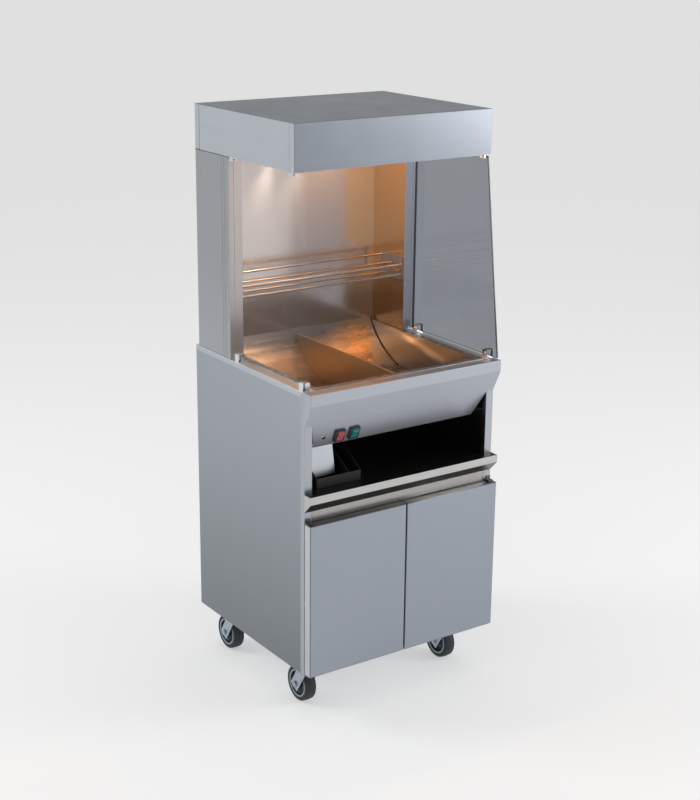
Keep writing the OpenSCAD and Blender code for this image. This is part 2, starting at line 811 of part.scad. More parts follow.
// Well with a curved back, flat ends and a rim on the worktop
module well_pan() {
    back_z = worktop_h + well_rise;
    brim_y = well_axis_y + sqrt(pow(well_r, 2) - pow(well_r - well_depth, 2));
    rim_gap = 1;
    color("lightgray") difference() {
        union() {
            along_x(-well_half - sheet, well_half + sheet) well_section(sheet, worktop_h + sheet);
            intersection() {
                along_x(-well_half - sheet, well_half + sheet) well_section(sheet, back_z);
                slab(-half_w, half_w, brim_y, rear_y, well_floor_z, back_z);
            }
            slab(-well_half - rim_w, well_half + rim_w, well_y - rim_w, cheek_y - rim_gap,
                worktop_h, worktop_h + sheet);
        }
        along_x(-well_half, well_half) well_section(0, canopy_z);
    }
}

// Perforated plate for one bay, resting on its front fold and on the curved back
module drain_plate(x0, x1) {
    cols = floor((x1 - x0 - drain_pitch) / drain_pitch);
    rows = floor((drain_y1 - drain_y0 - drain_pitch) / drain_pitch);
    mid_x = (x0 + x1) / 2;
    mid_y = (drain_y0 + drain_y1) / 2;
    color("silver") difference() {
        union() {
            slab(x0, x1, drain_y0, drain_y1, drain_z - sheet, drain_z);
            slab(x0, x1, drain_y0 + well_corner_r, drain_y0 + well_corner_r + sheet,
                well_floor_z + turn_gap, drain_z);
        }
        for (i = [0:cols], j = [0:rows])
            translate([mid_x + (i - cols / 2) * drain_pitch, mid_y + (j - rows / 2) * drain_pitch, drain_z - sheet - 1])
                cylinder(d = drain_hole_d, h = sheet + 2);
    }
}

module drain_plate_left() { drain_plate(-well_half + slip_gap, -divider_off - divider_hem_w / 2 - slip_gap); }
module drain_plate_right() { drain_plate(-divider_off + divider_hem_w / 2 + slip_gap, well_half - slip_gap); }

// Loose divider, shaped to the well's floor and back, with a hemmed top edge
module well_divider() {
    hem_y1 = well_axis_y + sqrt(pow(well_r, 2) - pow(well_axis_z - worktop_h + divider_hem_h, 2)) - 1.5;
    color("lightgray") {
        intersection() {
            along_x(-divider_off - sheet / 2, -divider_off + sheet / 2) well_section(-turn_gap, worktop_h);
            slab(-half_w, half_w, well_y + turn_gap, hem_y1, well_floor_z, worktop_h);
        }
        slab(-divider_off - divider_hem_w / 2, -divider_off + divider_hem_w / 2, well_y + turn_gap, hem_y1,
            worktop_h - divider_hem_h, worktop_h);
    }
}

// Serpentine heater under the well, with three holding bars on studs
module well_element() {
    z = well_floor_z - sheet - element_gap - element_d / 2;
    pitch = 2 * element_bend_r;
    y0 = well_y + element_front;
    y1 = y0 + pitch * (element_runs - 1);
    stud_r = 4;
    bar_w = 16;
    bar_end = 14;
    color("dimgray") {
        for (i = [0:element_runs - 1]) rod_x(-element_run, element_run, y0 + i * pitch, z, element_d / 2);
        for (i = [0:element_runs - 2])
            translate([(i % 2 == 0 ? 1 : -1) * element_run, y0 + (i + 0.5) * pitch, z])
                rotate([0, 0, i % 2 == 0 ? -90 : 90])
                    rotate_extrude(angle = 180, $fn = 24) translate([element_bend_r, 0])
                        circle(d = element_d, $fn = 24);
    }
    color("silver") for (x = [-element_run * 0.7, 0, element_run * 0.7]) {
        slab(x - bar_w / 2, x + bar_w / 2, y0 - bar_end, y1 + bar_end,
            z - element_d / 2 - clamp_t, z - element_d / 2);
        for (y = [y0 - bar_end + stud_r, y1 + bar_end - stud_r])
            translate([x, y, z - element_d / 2 - eps])
                cylinder(r = stud_r, h = well_floor_z - sheet - z + element_d / 2 + eps);
    }
}

// Thermostat on the heat shield with its bulb under the well
module thermostat() {
    stat_in = 30;
    x = -half_w + box_w + stat_in;
    y = front_y + box_front + box_lean + stat_in;
    z = shield_z + sheet;
    bulb_z = well_floor_z - sheet - element_gap - element_d - clamp_t - bulb_d / 2;
    color("ivory") slab(x, x + stat_w, y, y + stat_d, z, bulb_z - bulb_d / 2 - 1);
    color("peru") {
        translate([x + stat_w / 2, y + stat_d / 2, bulb_z - bulb_d / 2 - 1 - eps])
            cylinder(d = bulb_d, h = bulb_d / 2 + 1 + eps);
        rod_x(x + stat_w / 2, x + stat_w / 2 + bulb_l, y + stat_d / 2, bulb_z, bulb_d / 2 - eps);
    }
}

// Hollow cheek with a corner bead marked off by two grooves
module cheek() {
    bead_side = bead_w + 6;
    color("lightsteelblue") difference() {
        slab(cheek_in, half_w, cheek_y, gantry_y, worktop_h, canopy_z);
        slab(cheek_in + sheet, half_w - sheet, cheek_y + sheet, gantry_y - sheet, worktop_h - 1, canopy_z + 1);
        slab(half_w - bead_w - groove, half_w - bead_w, cheek_y - 1, cheek_y + sheet / 2, worktop_h - 1, canopy_z + 1);
        slab(half_w - sheet / 2, half_w + 1, cheek_y + bead_side, cheek_y + bead_side + groove,
            worktop_h - 1, canopy_z + 1);
        slab(half_w - sheet / 2, half_w + 1, cheek_y + bead_side + 12, cheek_y + bead_side + 12 + groove,
            worktop_h - 1, canopy_z + 1);
    }
}

module cheek_left() { mirror([1, 0, 0]) cheek(); }
module cheek_right() { cheek(); }

// Polished rear wall of the display, between the cheeks and on the well's back edge
module display_back() {
    color("gainsboro") difference() {
        slab(-cheek_in, cheek_in, display_y, display_y + sheet, worktop_h, canopy_z);
        slab(-well_half - sheet, well_half + sheet, display_y - 1, display_y + sheet + 1,
            worktop_h - 1, worktop_h + well_rise);
    }
}

// Outer rear cover of the gantry
module gantry_cover() {
    color("lightgray") slab(-cheek_in, cheek_in, gantry_y - sheet, gantry_y, worktop_h, canopy_z);
}

// Welded wire rack between two end plates
module wire_rack() {
    y0 = cheek_y + rack_front;
    y1 = y0 + 2 * rack_pitch;
    z = worktop_h + rack_h;
    low_z = z - rack_guard_h - rack_step;
    end_r = rod_d / 2 + 3;
    color("silver") {
        rod_x(-cheek_in, cheek_in, y0, z, rod_d / 2);
        rod_x(-cheek_in, cheek_in, y0, z - rack_guard_h, rod_d / 2);
        rod_x(-cheek_in, cheek_in, y0 + rack_pitch, z, thin_rod_d / 2);
        rod_x(-cheek_in, cheek_in, y1 - rack_step, low_z, thin_rod_d / 2);
        rod_x(-cheek_in, cheek_in, y1, z + 2 * rack_step, thin_rod_d / 2);
        both_sides() difference() {
            slab(cheek_in - rack_end_t, cheek_in, y0 - end_r, y1 + end_r, low_z - end_r, z + 2 * rack_step + end_r);
            slab(cheek_in - rack_end_t - 1, cheek_in + 1, y0 + end_r, y1 - end_r,
                z - rack_guard_h + end_r, z - end_r);
        }
    }
}

// Side glass with a sloping front edge
module side_glass() {
    color("lightcyan", 0.4) along_x(glass_x, glass_x + glass_t) polygon([
        [front_y + glass_front_low, glass_z0], [glass_top_y, glass_z1],
        [cheek_y - 1, glass_z1], [cheek_y - 1, glass_z0]
    ]);
}

module glass_left() { mirror([1, 0, 0]) side_glass(); }
module glass_right() { side_glass(); }

// Slotted clip that grips the glass, standing on z0, with the head of its screw
module glass_clip(y, z0, h, jaw, slot_z0, slot_z1) {
    difference() {
        slab(glass_x - jaw, half_w - 0.25, y - clip_l / 2, y + clip_l / 2, z0, z0 + h);
        slab(glass_x, glass_x + glass_t, y - clip_l / 2 - 1, y + clip_l / 2 + 1, slot_z0, slot_z1);
    }
    translate([glass_x - jaw, y, z0 + h / 2]) rotate([0, -90, 0]) cylinder(d = min(clip_l, h) * 0.55, h = 3);
}

// The eight clips of both panes
module glass_clips() {
    color("silver") both_sides() {
        for (y = [front_y + clip_front, cheek_y - clip_rear])
            glass_clip(y, worktop_h, clip_h, clip_jaw, glass_z0, glass_z0 + clip_h * 2);
        for (y = [glass_top_y + clip_l / 2 + 3, cheek_y - clip_rear_top])
            glass_clip(y, canopy_z - clip_top_h, clip_top_h, clip_top_jaw, glass_z1 - clip_top_h * 2, glass_z1);
    }
}

// Top, front and rear of the canopy with folds around its sides
module canopy_cover() {
    color("slategray") {
        slab(-half_w, half_w, canopy_y, gantry_y, canopy_top - sheet, canopy_top);
        slab(-half_w, half_w, canopy_y, canopy_y + sheet, canopy_z, canopy_top);
        slab(-half_w, half_w, gantry_y - sheet, gantry_y, canopy_z, canopy_top);
        both_sides() {
            slab(half_w - sheet, half_w, canopy_y, canopy_y + canopy_fold, canopy_z, canopy_top);
            slab(half_w - sheet, half_w, gantry_y - canopy_fold, gantry_y, canopy_z, canopy_top);
        }
    }
}

// Side plates of the canopy, flush between the folds
module canopy_sides() {
    color("lightsteelblue") both_sides()
        slab(half_w - sheet, half_w, canopy_y + canopy_fold + canopy_joint, gantry_y - canopy_fold - canopy_joint,
            canopy_z, canopy_top - sheet);
}

// Outline of a lamp trough, seen from the side
module trough_section(y, grow) {
    shoulder = trough_w * 0.25;
    polygon([
        [y - trough_w / 2 - grow, canopy_z - 1], [y - trough_w / 2 - grow, canopy_z],
        [y - shoulder - grow, canopy_z + trough_h + grow], [y + shoulder + grow, canopy_z + trough_h + grow],
        [y + trough_w / 2 + grow, canopy_z], [y + trough_w / 2 + grow, canopy_z - 1]
    ]);
}

trough_ys = [canopy_y + trough_front, canopy_y + trough_front + trough_pitch];

// Deck inside the canopy with two polished lamp troughs
module lamp_deck() {
    color("gainsboro") difference() {
        union() {
            slab(-inner_x, inner_x, canopy_y + sheet, gantry_y - sheet, canopy_z, canopy_z + sheet);
            for (y = trough_ys) intersection() {
                along_x(-trough_l / 2 - sheet, trough_l / 2 + sheet) trough_section(y, sheet);
                slab(-half_w, half_w, front_y, rear_y, canopy_z, canopy_top);
            }
        }
        for (y = trough_ys) along_x(-trough_l / 2, trough_l / 2) trough_section(y, 0);
    }
}

// Quartz tubes between the holders
module quartz_lamps() {
    tube_l = trough_l - 2 * holder_l + 16;
    color("gold") for (y = trough_ys)
        rod_x(-tube_l / 2, tube_l / 2, y, canopy_z + trough_h * 0.55, lamp_d / 2);
}

// Ceramic holders at both ends of each trough, hung from its roof
module lamp_holders() {
    z = canopy_z + trough_h * 0.55;
    color("ivory") both_sides() for (y = trough_ys) difference() {
        slab(trough_l / 2 - holder_l, trough_l / 2, y - lamp_d * 0.75, y + lamp_d * 0.75,
            z - lamp_d * 0.75, canopy_z + trough_h);
        rod_x(trough_l / 2 - holder_l - 1, trough_l / 2 - holder_l + 8, y, z, lamp_d / 2 + run_gap);
    }
}

// Supply inlet: gland with a hexagon, dome, thread and locknut
module cable_gland() {
    hex_d = gland_d * 1.4;
    out = rear_recess - sheet - 2;
    color("black") translate([gland_x, rear_panel_y + sheet, gland_z]) rotate([-90, 0, 0]) difference() {
        union() {
            cylinder(d = hex_d, h = 6, $fn = 6);
            cylinder(d = gland_d * 1.1, h = out);
            translate([0, 0, -sheet - 12]) cylinder(d = gland_d - 2 * run_gap, h = sheet + 13);
            translate([0, 0, -sheet - 6]) cylinder(d = hex_d, h = 6, $fn = 6);
        }
        translate([0, 0, -sheet - 13]) cylinder(d = cable_bore_d, h = out + sheet + 14);
    }
}

// Plate, upper race, kingpin and bolt heads of one caster
module caster_plate() {
    bolt_d = 14;
    translate([-plate_w / 2, -plate_l / 2, caster_h - plate_t]) cube([plate_w, plate_l, plate_t]);
    translate([0, 0, race_z + race_h + turn_gap])
        cylinder(r = crown_r + 2, h = caster_h - plate_t - race_z - race_h - turn_gap + eps);
    translate([0, 0, crown_z - turn_gap - eps]) cylinder(d = kingpin_d, h = caster_h - crown_z);
    translate([0, 0, crown_z - turn_gap - 5]) cylinder(d = kingpin_d + 8, h = 5);
    for (x = [-1, 1], y = [-1, 1])
        translate([x * (plate_w / 2 - 9), y * (plate_l / 2 - 10), caster_h - plate_t - 5])
            cylinder(d = bolt_d, h = 5 + eps, $fn = 6);
}

module at_casters() {
    for (x = [-caster_x, caster_x], y = [caster_y_front, caster_y_rear]) translate([x, y, 0]) children();
}

module caster_plates() { color("slategray") at_casters() caster_plate(); }

// Fork with its lower race, legs and axle
module fork() {
    bore = kingpin_d / 2 + run_gap;
    lean = atan2(trail, race_z - axle_z);
    top = leg_w / 2 / cos(lean);
    aside = [leg_w / 2 * cos(lean), leg_w / 2 * sin(lean)];
    foot = [trail + leg_end * sin(lean), axle_z - leg_end * cos(lean)];
    color("slategray") difference() {
        union() {
            translate([0, 0, crown_z]) cylinder(r = crown_r, h = crown_t);
            translate([0, 0, race_z - eps]) cylinder(r = crown_r - 2, h = race_h + eps);
            both_sides() along_x(fork_in, fork_out)
                polygon([[-top, race_z], [top, race_z], foot + aside, foot - aside]);
            slab(-fork_out, fork_out, -top, top, crown_z, race_z);
        }
        translate([0, 0, crown_z - 1]) cylinder(r = bore, h = crown_t + race_h + 2);
        rod_x(-fork_out - 1, fork_out + 1, trail, axle_z, axle_d / 2 + run_gap);
    }
    color("darkgray") {
        rod_x(-fork_out - 4, fork_out + 4, trail, axle_z, axle_d / 2);
        both_sides() translate([fork_out + run_gap, trail, axle_z]) rotate([0, 90, 0])
            cylinder(d = axle_d * 1.7, h = 5, $fn = 6);
    }
}

// Wheel centre with a rim, a web and a bored boss
module hub() {
    rim_t = 6;
    web_t = 9;
    boss_r = axle_d / 2 + 8;
    color([0.12, 0.12, 0.13]) translate([0, trail, axle_z]) rotate([0, 90, 0]) rotate_extrude() difference() {
        union() {
            translate([tyre_seat_d / 2 - rim_t, -wheel_w / 2 + 1]) square([rim_t, wheel_w - 2]);
            translate([boss_r - 1, -web_t / 2]) square([tyre_seat_d / 2 - rim_t - boss_r + 2, web_t]);
            translate([axle_d / 2 + run_gap, -fork_in + turn_gap])
                square([boss_r - axle_d / 2 - run_gap, 2 * (fork_in - turn_gap)]);
        }
    }
}

// Rubber tyre with round shoulders
module tyre() {
    r0 = tyre_seat_d / 2;
    r1 = wheel_d / 2;
    color([0.07, 0.07, 0.07]) translate([0, trail, axle_z]) rotate([0, 90, 0]) rotate_extrude($fn = 96) {
        translate([r0, -wheel_w / 2]) square([r1 - tyre_round - r0, wheel_w]);
        translate([r0, -wheel_w / 2 + tyre_round]) square([r1 - r0, wheel_w - 2 * tyre_round]);
        for (s = [-1, 1]) translate([r1 - tyre_round, s * (wheel_w / 2 - tyre_round)]) circle(r = tyre_round);
    }
}

module fork_front_left() { translate([-caster_x, caster_y_front, 0]) fork(); }
module fork_front_right() { translate([caster_x, caster_y_front, 0]) fork(); }
module fork_rear_left() { translate([-caster_x, caster_y_rear, 0]) fork(); }
module fork_rear_right() { translate([caster_x, caster_y_rear, 0]) fork(); }
module hub_front_left() { translate([-caster_x, caster_y_front, 0]) hub(); }
module hub_front_right() { translate([caster_x, caster_y_front, 0]) hub(); }
module hub_rear_left() { translate([-caster_x, caster_y_rear, 0]) hub(); }
module hub_rear_right() { translate([caster_x, caster_y_rear, 0]) hub(); }
module tyre_front_left() { translate([-caster_x, caster_y_front, 0]) tyre(); }
module tyre_front_right() { translate([caster_x, caster_y_front, 0]) tyre(); }
module tyre_rear_left() { translate([-caster_x, caster_y_rear, 0]) tyre(); }
module tyre_rear_right() { translate([caster_x, caster_y_rear, 0]) tyre(); }

// Round-headed screws of the gantry's rear cover and the cabinet's rear panel
module cover_screws() {
    head_d = 8;
    head_h = 2;
    edge = 14;
    color("silver") {
        for (x = [-1, 0, 1], z = [worktop_h + edge, worktop_h + display_h / 2, canopy_z - edge])
            translate([x * (cheek_in - edge), gantry_y, z]) rotate([-90, 0, 0]) cylinder(d = head_d, h = head_h);
        for (x = [-1, 1], z = [cab_z + edge + base_edge_h, (cab_z + worktop_h) / 2, under_top_z - edge])
            translate([x * (half_w - side_fold - edge), rear_panel_y + sheet, z]) rotate([-90, 0, 0])
                cylinder(d = head_d, h = head_h);
    }
}

base_tray();
side_panel_left();
side_panel_right();
front_post_left();
front_post_right();
rear_panel();
door_rail();
recess_shelf();
recess_back();
heat_shield();
inner_shelf();
worktop();
front_panel();
switchgear_box();
tool_tray();
red_switch_body();
red_rocker();
green_switch_body();
green_rocker();
pilot_lamp();
left_door_skin();
left_door_liner();
right_door_skin();
right_door_liner();
door_hinges();
magnet_catches();
well_pan();
drain_plate_left();
drain_plate_right();
well_divider();
well_element();
thermostat();
cheek_left();
cheek_right();
display_back();
gantry_cover();
wire_rack();
glass_left();
glass_right();
glass_clips();
canopy_cover();
canopy_sides();
lamp_deck();
quartz_lamps();
lamp_holders();
cable_gland();
caster_plates();
fork_front_left();
fork_front_right();
fork_rear_left();
fork_rear_right();
hub_front_left();
hub_front_right();
hub_rear_left();
hub_rear_right();
tyre_front_left();
tyre_front_right();
tyre_rear_left();
tyre_rear_right();
cover_screws();
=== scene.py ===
"""Looks of a chip warmer: brushed steel sheets, glass, lamps, switches, casters and fasteners.

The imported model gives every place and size, in metres: +X to the unit's right, +Y to its rear, +Z up.
"""

import json
import logging
import math
from dataclasses import dataclass
from enum import Enum
from typing import Callable, Iterable, Optional, Sequence, Union

import bmesh
import bpy
import numpy as np
from mathutils import Matrix, Vector


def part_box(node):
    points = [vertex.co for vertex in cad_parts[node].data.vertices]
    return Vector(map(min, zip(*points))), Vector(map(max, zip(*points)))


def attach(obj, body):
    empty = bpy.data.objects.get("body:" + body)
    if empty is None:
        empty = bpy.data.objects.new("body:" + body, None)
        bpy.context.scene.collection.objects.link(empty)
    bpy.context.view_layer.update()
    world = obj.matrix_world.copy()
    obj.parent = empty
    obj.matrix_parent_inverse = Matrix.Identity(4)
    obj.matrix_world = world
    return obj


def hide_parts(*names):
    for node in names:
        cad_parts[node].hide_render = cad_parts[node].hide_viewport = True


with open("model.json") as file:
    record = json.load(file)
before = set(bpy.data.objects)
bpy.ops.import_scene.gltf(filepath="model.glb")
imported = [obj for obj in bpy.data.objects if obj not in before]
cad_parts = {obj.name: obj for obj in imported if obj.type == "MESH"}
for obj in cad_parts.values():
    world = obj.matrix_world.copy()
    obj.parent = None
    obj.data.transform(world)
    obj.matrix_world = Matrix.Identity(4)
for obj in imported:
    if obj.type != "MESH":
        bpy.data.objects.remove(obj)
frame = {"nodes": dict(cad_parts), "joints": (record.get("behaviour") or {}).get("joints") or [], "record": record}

log = logging.getLogger("chip_warmer")
MM = 0.001
DOUBLE = 2e-6
FLAT = math.radians(0.6)
CREASE = 25.0
CASTERS = ("front_left", "front_right", "rear_left", "rear_right")
SIDEWAYS, FORWARD, UPWARD, DOWNWARD = (1.0, 0.0, 0.0), (0.0, -1.0, 0.0), (0.0, 0.0, 1.0), (0.0, 0.0, -1.0)
Colour = tuple[float, float, float]
Array = np.ndarray
Value = Union["Wire", float, int, tuple]


class Axis(Enum):
    """A row axis, as its index."""

    X = 0
    Y = 1
    Z = 2


class Wire:
    """A shader socket with arithmetic: an expression on values adds its Math nodes."""

    def __init__(self, shader: "Shader", socket: bpy.types.NodeSocket) -> None:
        """Keeps the shader and one of its output sockets."""
        self.shader = shader
        self.socket = socket

    def _math(self, operation: str, first: Value, second: Value) -> "Wire":
        """Result of a new Math node on two operands."""
        return self.shader.node("ShaderNodeMath", {"operation": operation}, {0: first, 1: second})

    def __add__(self, other: Value) -> "Wire":
        """Sum."""
        return self._math("ADD", self, other)

    def __radd__(self, other: Value) -> "Wire":
        """Sum, reflected."""
        return self._math("ADD", other, self)

    def __sub__(self, other: Value) -> "Wire":
        """Difference."""
        return self._math("SUBTRACT", self, other)

    def __rsub__(self, other: Value) -> "Wire":
        """Difference, reflected."""
        return self._math("SUBTRACT", other, self)

    def __mul__(self, other: Value) -> "Wire":
        """Product."""
        return self._math("MULTIPLY", self, other)

    def __rmul__(self, other: Value) -> "Wire":
        """Product, reflected."""
        return self._math("MULTIPLY", other, self)


class Shader:
    """The nodes of a material or of the world."""

    def __init__(self, owner: Union[bpy.types.Material, bpy.types.World]) -> None:
        """Empties the owner's node tree."""
        owner.use_nodes = True
        self.tree = owner.node_tree
        self.tree.nodes.clear()

    def node(self, kind: str, settings: Optional[dict] = None, sockets: Optional[dict] = None,
             out: Union[int, str] = 0) -> Wire:
        """Adds any node.

        Args:
            kind: the node's type.
            settings: its properties, and "stops" for a ramp, set before the sockets.
            sockets: values or wires by socket name or index.
            out: the output to return.

        Returns:
            The chosen output.
        """
        made = self.tree.nodes.new(kind)
        for key, value in (settings or {}).items():
            if key == "stops":
                while len(made.color_ramp.elements) < len(value):
                    made.color_ramp.elements.new(0.5)
                for element, (place, colour) in zip(made.color_ramp.elements, value):
                    element.position = place
                    element.color = (*colour, 1.0)
            else:
                setattr(made, key, value)
        for key, value in (sockets or {}).items():
            self.feed(made.inputs[key], value)
        return Wire(self, made.outputs[out])

    def feed(self, socket: bpy.types.NodeSocket, value: Value) -> None:
        """Sets a socket to a value, or links a wire to it."""
        if isinstance(value, Wire):
            self.tree.links.new(value.socket, socket)
        elif isinstance(value, tuple) and len(value) == 3 and socket.type == "RGBA":
            socket.default_value = (*value, 1.0)
        else:
            socket.default_value = value

    def place(self, scale: Union[float, tuple] = 1.0) -> Wire:
        """Object coordinates, scaled by one number or by one for each axis."""
        where = self.node("ShaderNodeTexCoord", out="Object")
        each = scale if isinstance(scale, tuple) else (scale,) * 3
        return self.node("ShaderNodeMapping", sockets={"Vector": where, "Scale": each})

    def rise(self, low: float, high: float) -> Wire:
        """Factor that goes from 0 to 1 between two heights over the floor, in metres."""
        height = self.node("ShaderNodeSeparateXYZ", sockets={0: self.place()}, out="Z")
        return self.node("ShaderNodeMapRange", sockets={0: height, 1: low, 2: high})

    def noise(self, scale: Union[float, tuple], detail: float = 3.0, rough: float = 0.5) -> Wire:
        """Noise from 0 to 1, with its features per metre, its octaves and the weight of the finer ones."""
        sockets = {"Vector": self.place(scale), "Scale": 1.0, "Detail": detail, "Roughness": rough}
        return self.node("ShaderNodeTexNoise", sockets=sockets)

    def mix(self, factor: Value, first: Value, second: Value) -> Wire:
        """Blend of two colours by a factor."""
        return self.node("ShaderNodeMix", {"data_type": "RGBA"}, {0: factor, 6: first, 7: second}, out=2)

    def bump(self, height: Wire, depth: float) -> Wire:
        """Normal of a height field; depth is the height of 1, in metres."""
        return self.node("ShaderNodeBump", sockets={"Height": height, "Distance": depth})

    def principled(self, **sockets: Value) -> Wire:
        """Principled surface, with sockets given by name, underscores standing for spaces."""
        named = {key.replace("_", " "): value for key, value in sockets.items()}
        return self.node("ShaderNodeBsdfPrincipled", sockets=named)

    def done(self, surface: Wire, output: str = "ShaderNodeOutputMaterial") -> None:
        """Links the surface to a new output."""
        self.tree.links.new(surface.socket, self.tree.nodes.new(output).inputs["Surface"])


def scaled(tone: Colour, factor: float) -> Colour:
    """A tone times a factor, up to white."""
    return tuple(min(1.0, part * factor) for part in tone)


@dataclass(frozen=True)
class Finish:
    """What every finish shares: a name and a cached material."""

    name: str

    def build(self, shader: Shader) -> Wire:
        """Makes the surface; each finish has its own."""
        raise NotImplementedError

    def material(self) -> bpy.types.Material:
        """The finish's material, made once."""
        material = bpy.data.materials.get(self.name)
        if not material:
            material = bpy.data.materials.new(self.name)
            shader = Shader(material)
            shader.done(self.build(shader))
        return material


@dataclass(frozen=True)
class BrushedSteel(Finish):
    """Stainless sheet with brush lines along one axis, cloudy sheen and a few wiped marks."""

    grain: Axis = Axis.Z
    tone: Colour = (0.400, 0.420, 0.455)
    roughness: float = 0.30
    streaks: float = 0.16
    depth: float = 0.00005
    # Share of the tone left at the floor; the darkening below a metre is painted shade.
    foot: float = 1.0
    metal: float = 1.0
    contrast: float = 0.08
    wear: float = 0.10
    # Height above which the sheet is a fifth lighter, as a painted highlight along its top edge; 0 for none.
    lit_hem: float = 0.0
    fine: tuple[float, float] = (900.0, 6.0)
    broad: tuple[float, float] = (60.0, 1.2)

    def build(self, shader: Shader) -> Wire:
        """Fine and broad noises stretched along the grain drive tone, roughness and bump.

        The tone deepens from a metre up towards the floor, to foot times its value: painted shade. Above
        the given height, if it has one, the sheet is a fifth lighter: a painted highlight along its top edge.
        """
        hair = shader.noise(self.stretched(*self.fine), 4.0, 0.6)
        band = shader.noise(self.stretched(*self.broad), 2.0)
        cloud = shader.noise(3.2)
        wiped = shader.noise((14.0, 9.0, 11.0), 5.0, 0.62)
        dark, light = scaled(self.tone, 1 - self.contrast), scaled(self.tone, 1 + self.contrast)
        shade = 0.45 * hair + 0.30 * band + 0.25 * cloud
        rough = self.roughness - 0.5 * self.streaks + self.streaks * shade + self.wear * (wiped - 0.5)
        colour = shader.mix(shade, dark, light)
        # Painted shade: the tone darkens towards the floor.
        if self.foot < 1.0:
            floor_shade = shader.mix(shade, scaled(dark, self.foot), scaled(light, self.foot))
            colour = shader.mix(shader.rise(0.1, 1.0), floor_shade, colour)
        # Painted highlight: the sheet is lighter above the given height.
        if self.lit_hem:
            colour = shader.mix(shader.rise(self.lit_hem, self.lit_hem + 2 * MM), colour, scaled(self.tone, 1.22))
        return shader.principled(
            Base_Color=colour,
            Metallic=self.metal,
            Roughness=rough,
            Normal=shader.bump(0.7 * hair + 0.3 * band, self.depth),
        )

    def stretched(self, across: float, along: float) -> tuple[float, ...]:
        """Features per metre along X, Y and Z, from those across the grain and along it."""
        return tuple(along if axis is self.grain else across for axis in Axis)


@dataclass(frozen=True)
class Galvanised(Finish):
    """Zinc coated sheet: flat crystals of slightly different greys."""

    tone: Colour = (0.46, 0.48, 0.50)
    size: float = 70.0
    roughness: float = 0.42

    def build(self, shader: Shader) -> Wire:
        """Cells of a Voronoi field give each crystal its grey and gloss."""
        sockets = {"Vector": shader.place(self.size), "Scale": 1.0}
        cells = shader.node("ShaderNodeTexVoronoi", sockets=sockets, out="Color")
        grey = shader.node("ShaderNodeSeparateColor", sockets={0: cells})
        return shader.principled(
            Base_Color=shader.mix(grey, scaled(self.tone, 0.80), scaled(self.tone, 1.15)),
            Metallic=0.85,
            Roughness=self.roughness - 0.08 + 0.16 * grey,
            Normal=shader.bump(grey, 0.00004),
        )


@dataclass(frozen=True)
class BrightMetal(Finish):
    """Plated or polished metal with faint turning lines and dull spots."""

    tone: Colour = (0.72, 0.73, 0.75)
    roughness: float = 0.14

    def build(self, shader: Shader) -> Wire:
        """Small noise dulls the gloss and stains the tone."""
        spots = shader.noise(160.0, 4.0, 0.6)
        return shader.principled(
            Base_Color=shader.mix(spots, scaled(self.tone, 0.88), self.tone),
            Metallic=1.0,
            Roughness=self.roughness + 0.14 * spots,
            Normal=shader.bump(spots, 0.00003),
        )


@dataclass(frozen=True)
class Moulded(Finish):
    """Moulded plastic or rubber with a fine grain."""

    tone: Colour = (0.02, 0.02, 0.022)
    roughness: float = 0.42
    grain: float = 900.0
    depth: float = 0.00005
    coat: float = 0.0
    glow: float = 0.0

    def build(self, shader: Shader) -> Wire:
        """Grain bumps the surface and a slow noise varies its gloss."""
        grain = shader.noise(self.grain, 2.0)
        slow = shader.noise(30.0)
        return shader.principled(
            Base_Color=shader.mix(slow, scaled(self.tone, 0.82), scaled(self.tone, 1.18)),
            Roughness=self.roughness - 0.06 + 0.12 * slow,
            Coat_Weight=self.coat,
            Coat_Roughness=0.08,
            Emission_Color=self.tone,
            Emission_Strength=self.glow,
            Normal=shader.bump(grain, self.depth),
        )


@dataclass(frozen=True)
class Pane(Finish):
    """Toughened glass: tinted, with a mirror sheen that grows at grazing angles and faint smears."""

    tint: Colour = (0.80, 0.83, 0.84)
    base: float = 0.04
    rise: float = 0.80
    smears: float = 0.03

    def build(self, shader: Shader) -> Wire:
        """Reflection grows with the fifth power of how edge-on the pane is; smears add a little."""
        smear = shader.noise((5.0, 9.0, 4.0), 5.0, 0.6)
        edge_on = shader.node("ShaderNodeLayerWeight", out="Facing")
        square = edge_on * edge_on
        gloss = self.base + self.rise * (square * square * edge_on) + self.smears * smear
        clear = shader.node("ShaderNodeBsdfTransparent", sockets={"Color": self.tint})
        shine = shader.principled(Base_Color=(0.85, 0.88, 0.90), Metallic=1.0, Roughness=0.02 + 0.04 * smear)
        return shader.node("ShaderNodeMixShader", sockets={0: gloss, 1: clear, 2: shine})


@dataclass(frozen=True)
class Glow(Finish):
    """A hot filament or lamp: warm, brighter in its middle."""

    tone: Colour = (1.0, 0.52, 0.18)
    strength: float = 20.0

    def build(self, shader: Shader) -> Wire:
        """Noise along the wire varies the heat."""
        heat = shader.noise((120.0, 40.0, 40.0), 2.0)
        return shader.principled(
            Base_Color=self.tone,
            Roughness=0.5,
            Emission_Color=shader.mix(heat, scaled(self.tone, 0.7), self.tone),
            Emission_Strength=self.strength,
        )


@dataclass(frozen=True)
class Ceramic(Finish):
    """Unglazed ceramic or a painted housing."""

    tone: Colour = (0.80, 0.77, 0.70)

    def build(self, shader: Shader) -> Wire:
        """Fine pores and a slow stain."""
        pores = shader.noise(700.0)
        stain = shader.noise(60.0)
        return shader.principled(
            Base_Color=shader.mix(stain, scaled(self.tone, 0.86), self.tone),
            Roughness=0.62 + 0.15 * pores,
            Normal=shader.bump(pores, 0.00008),
        )


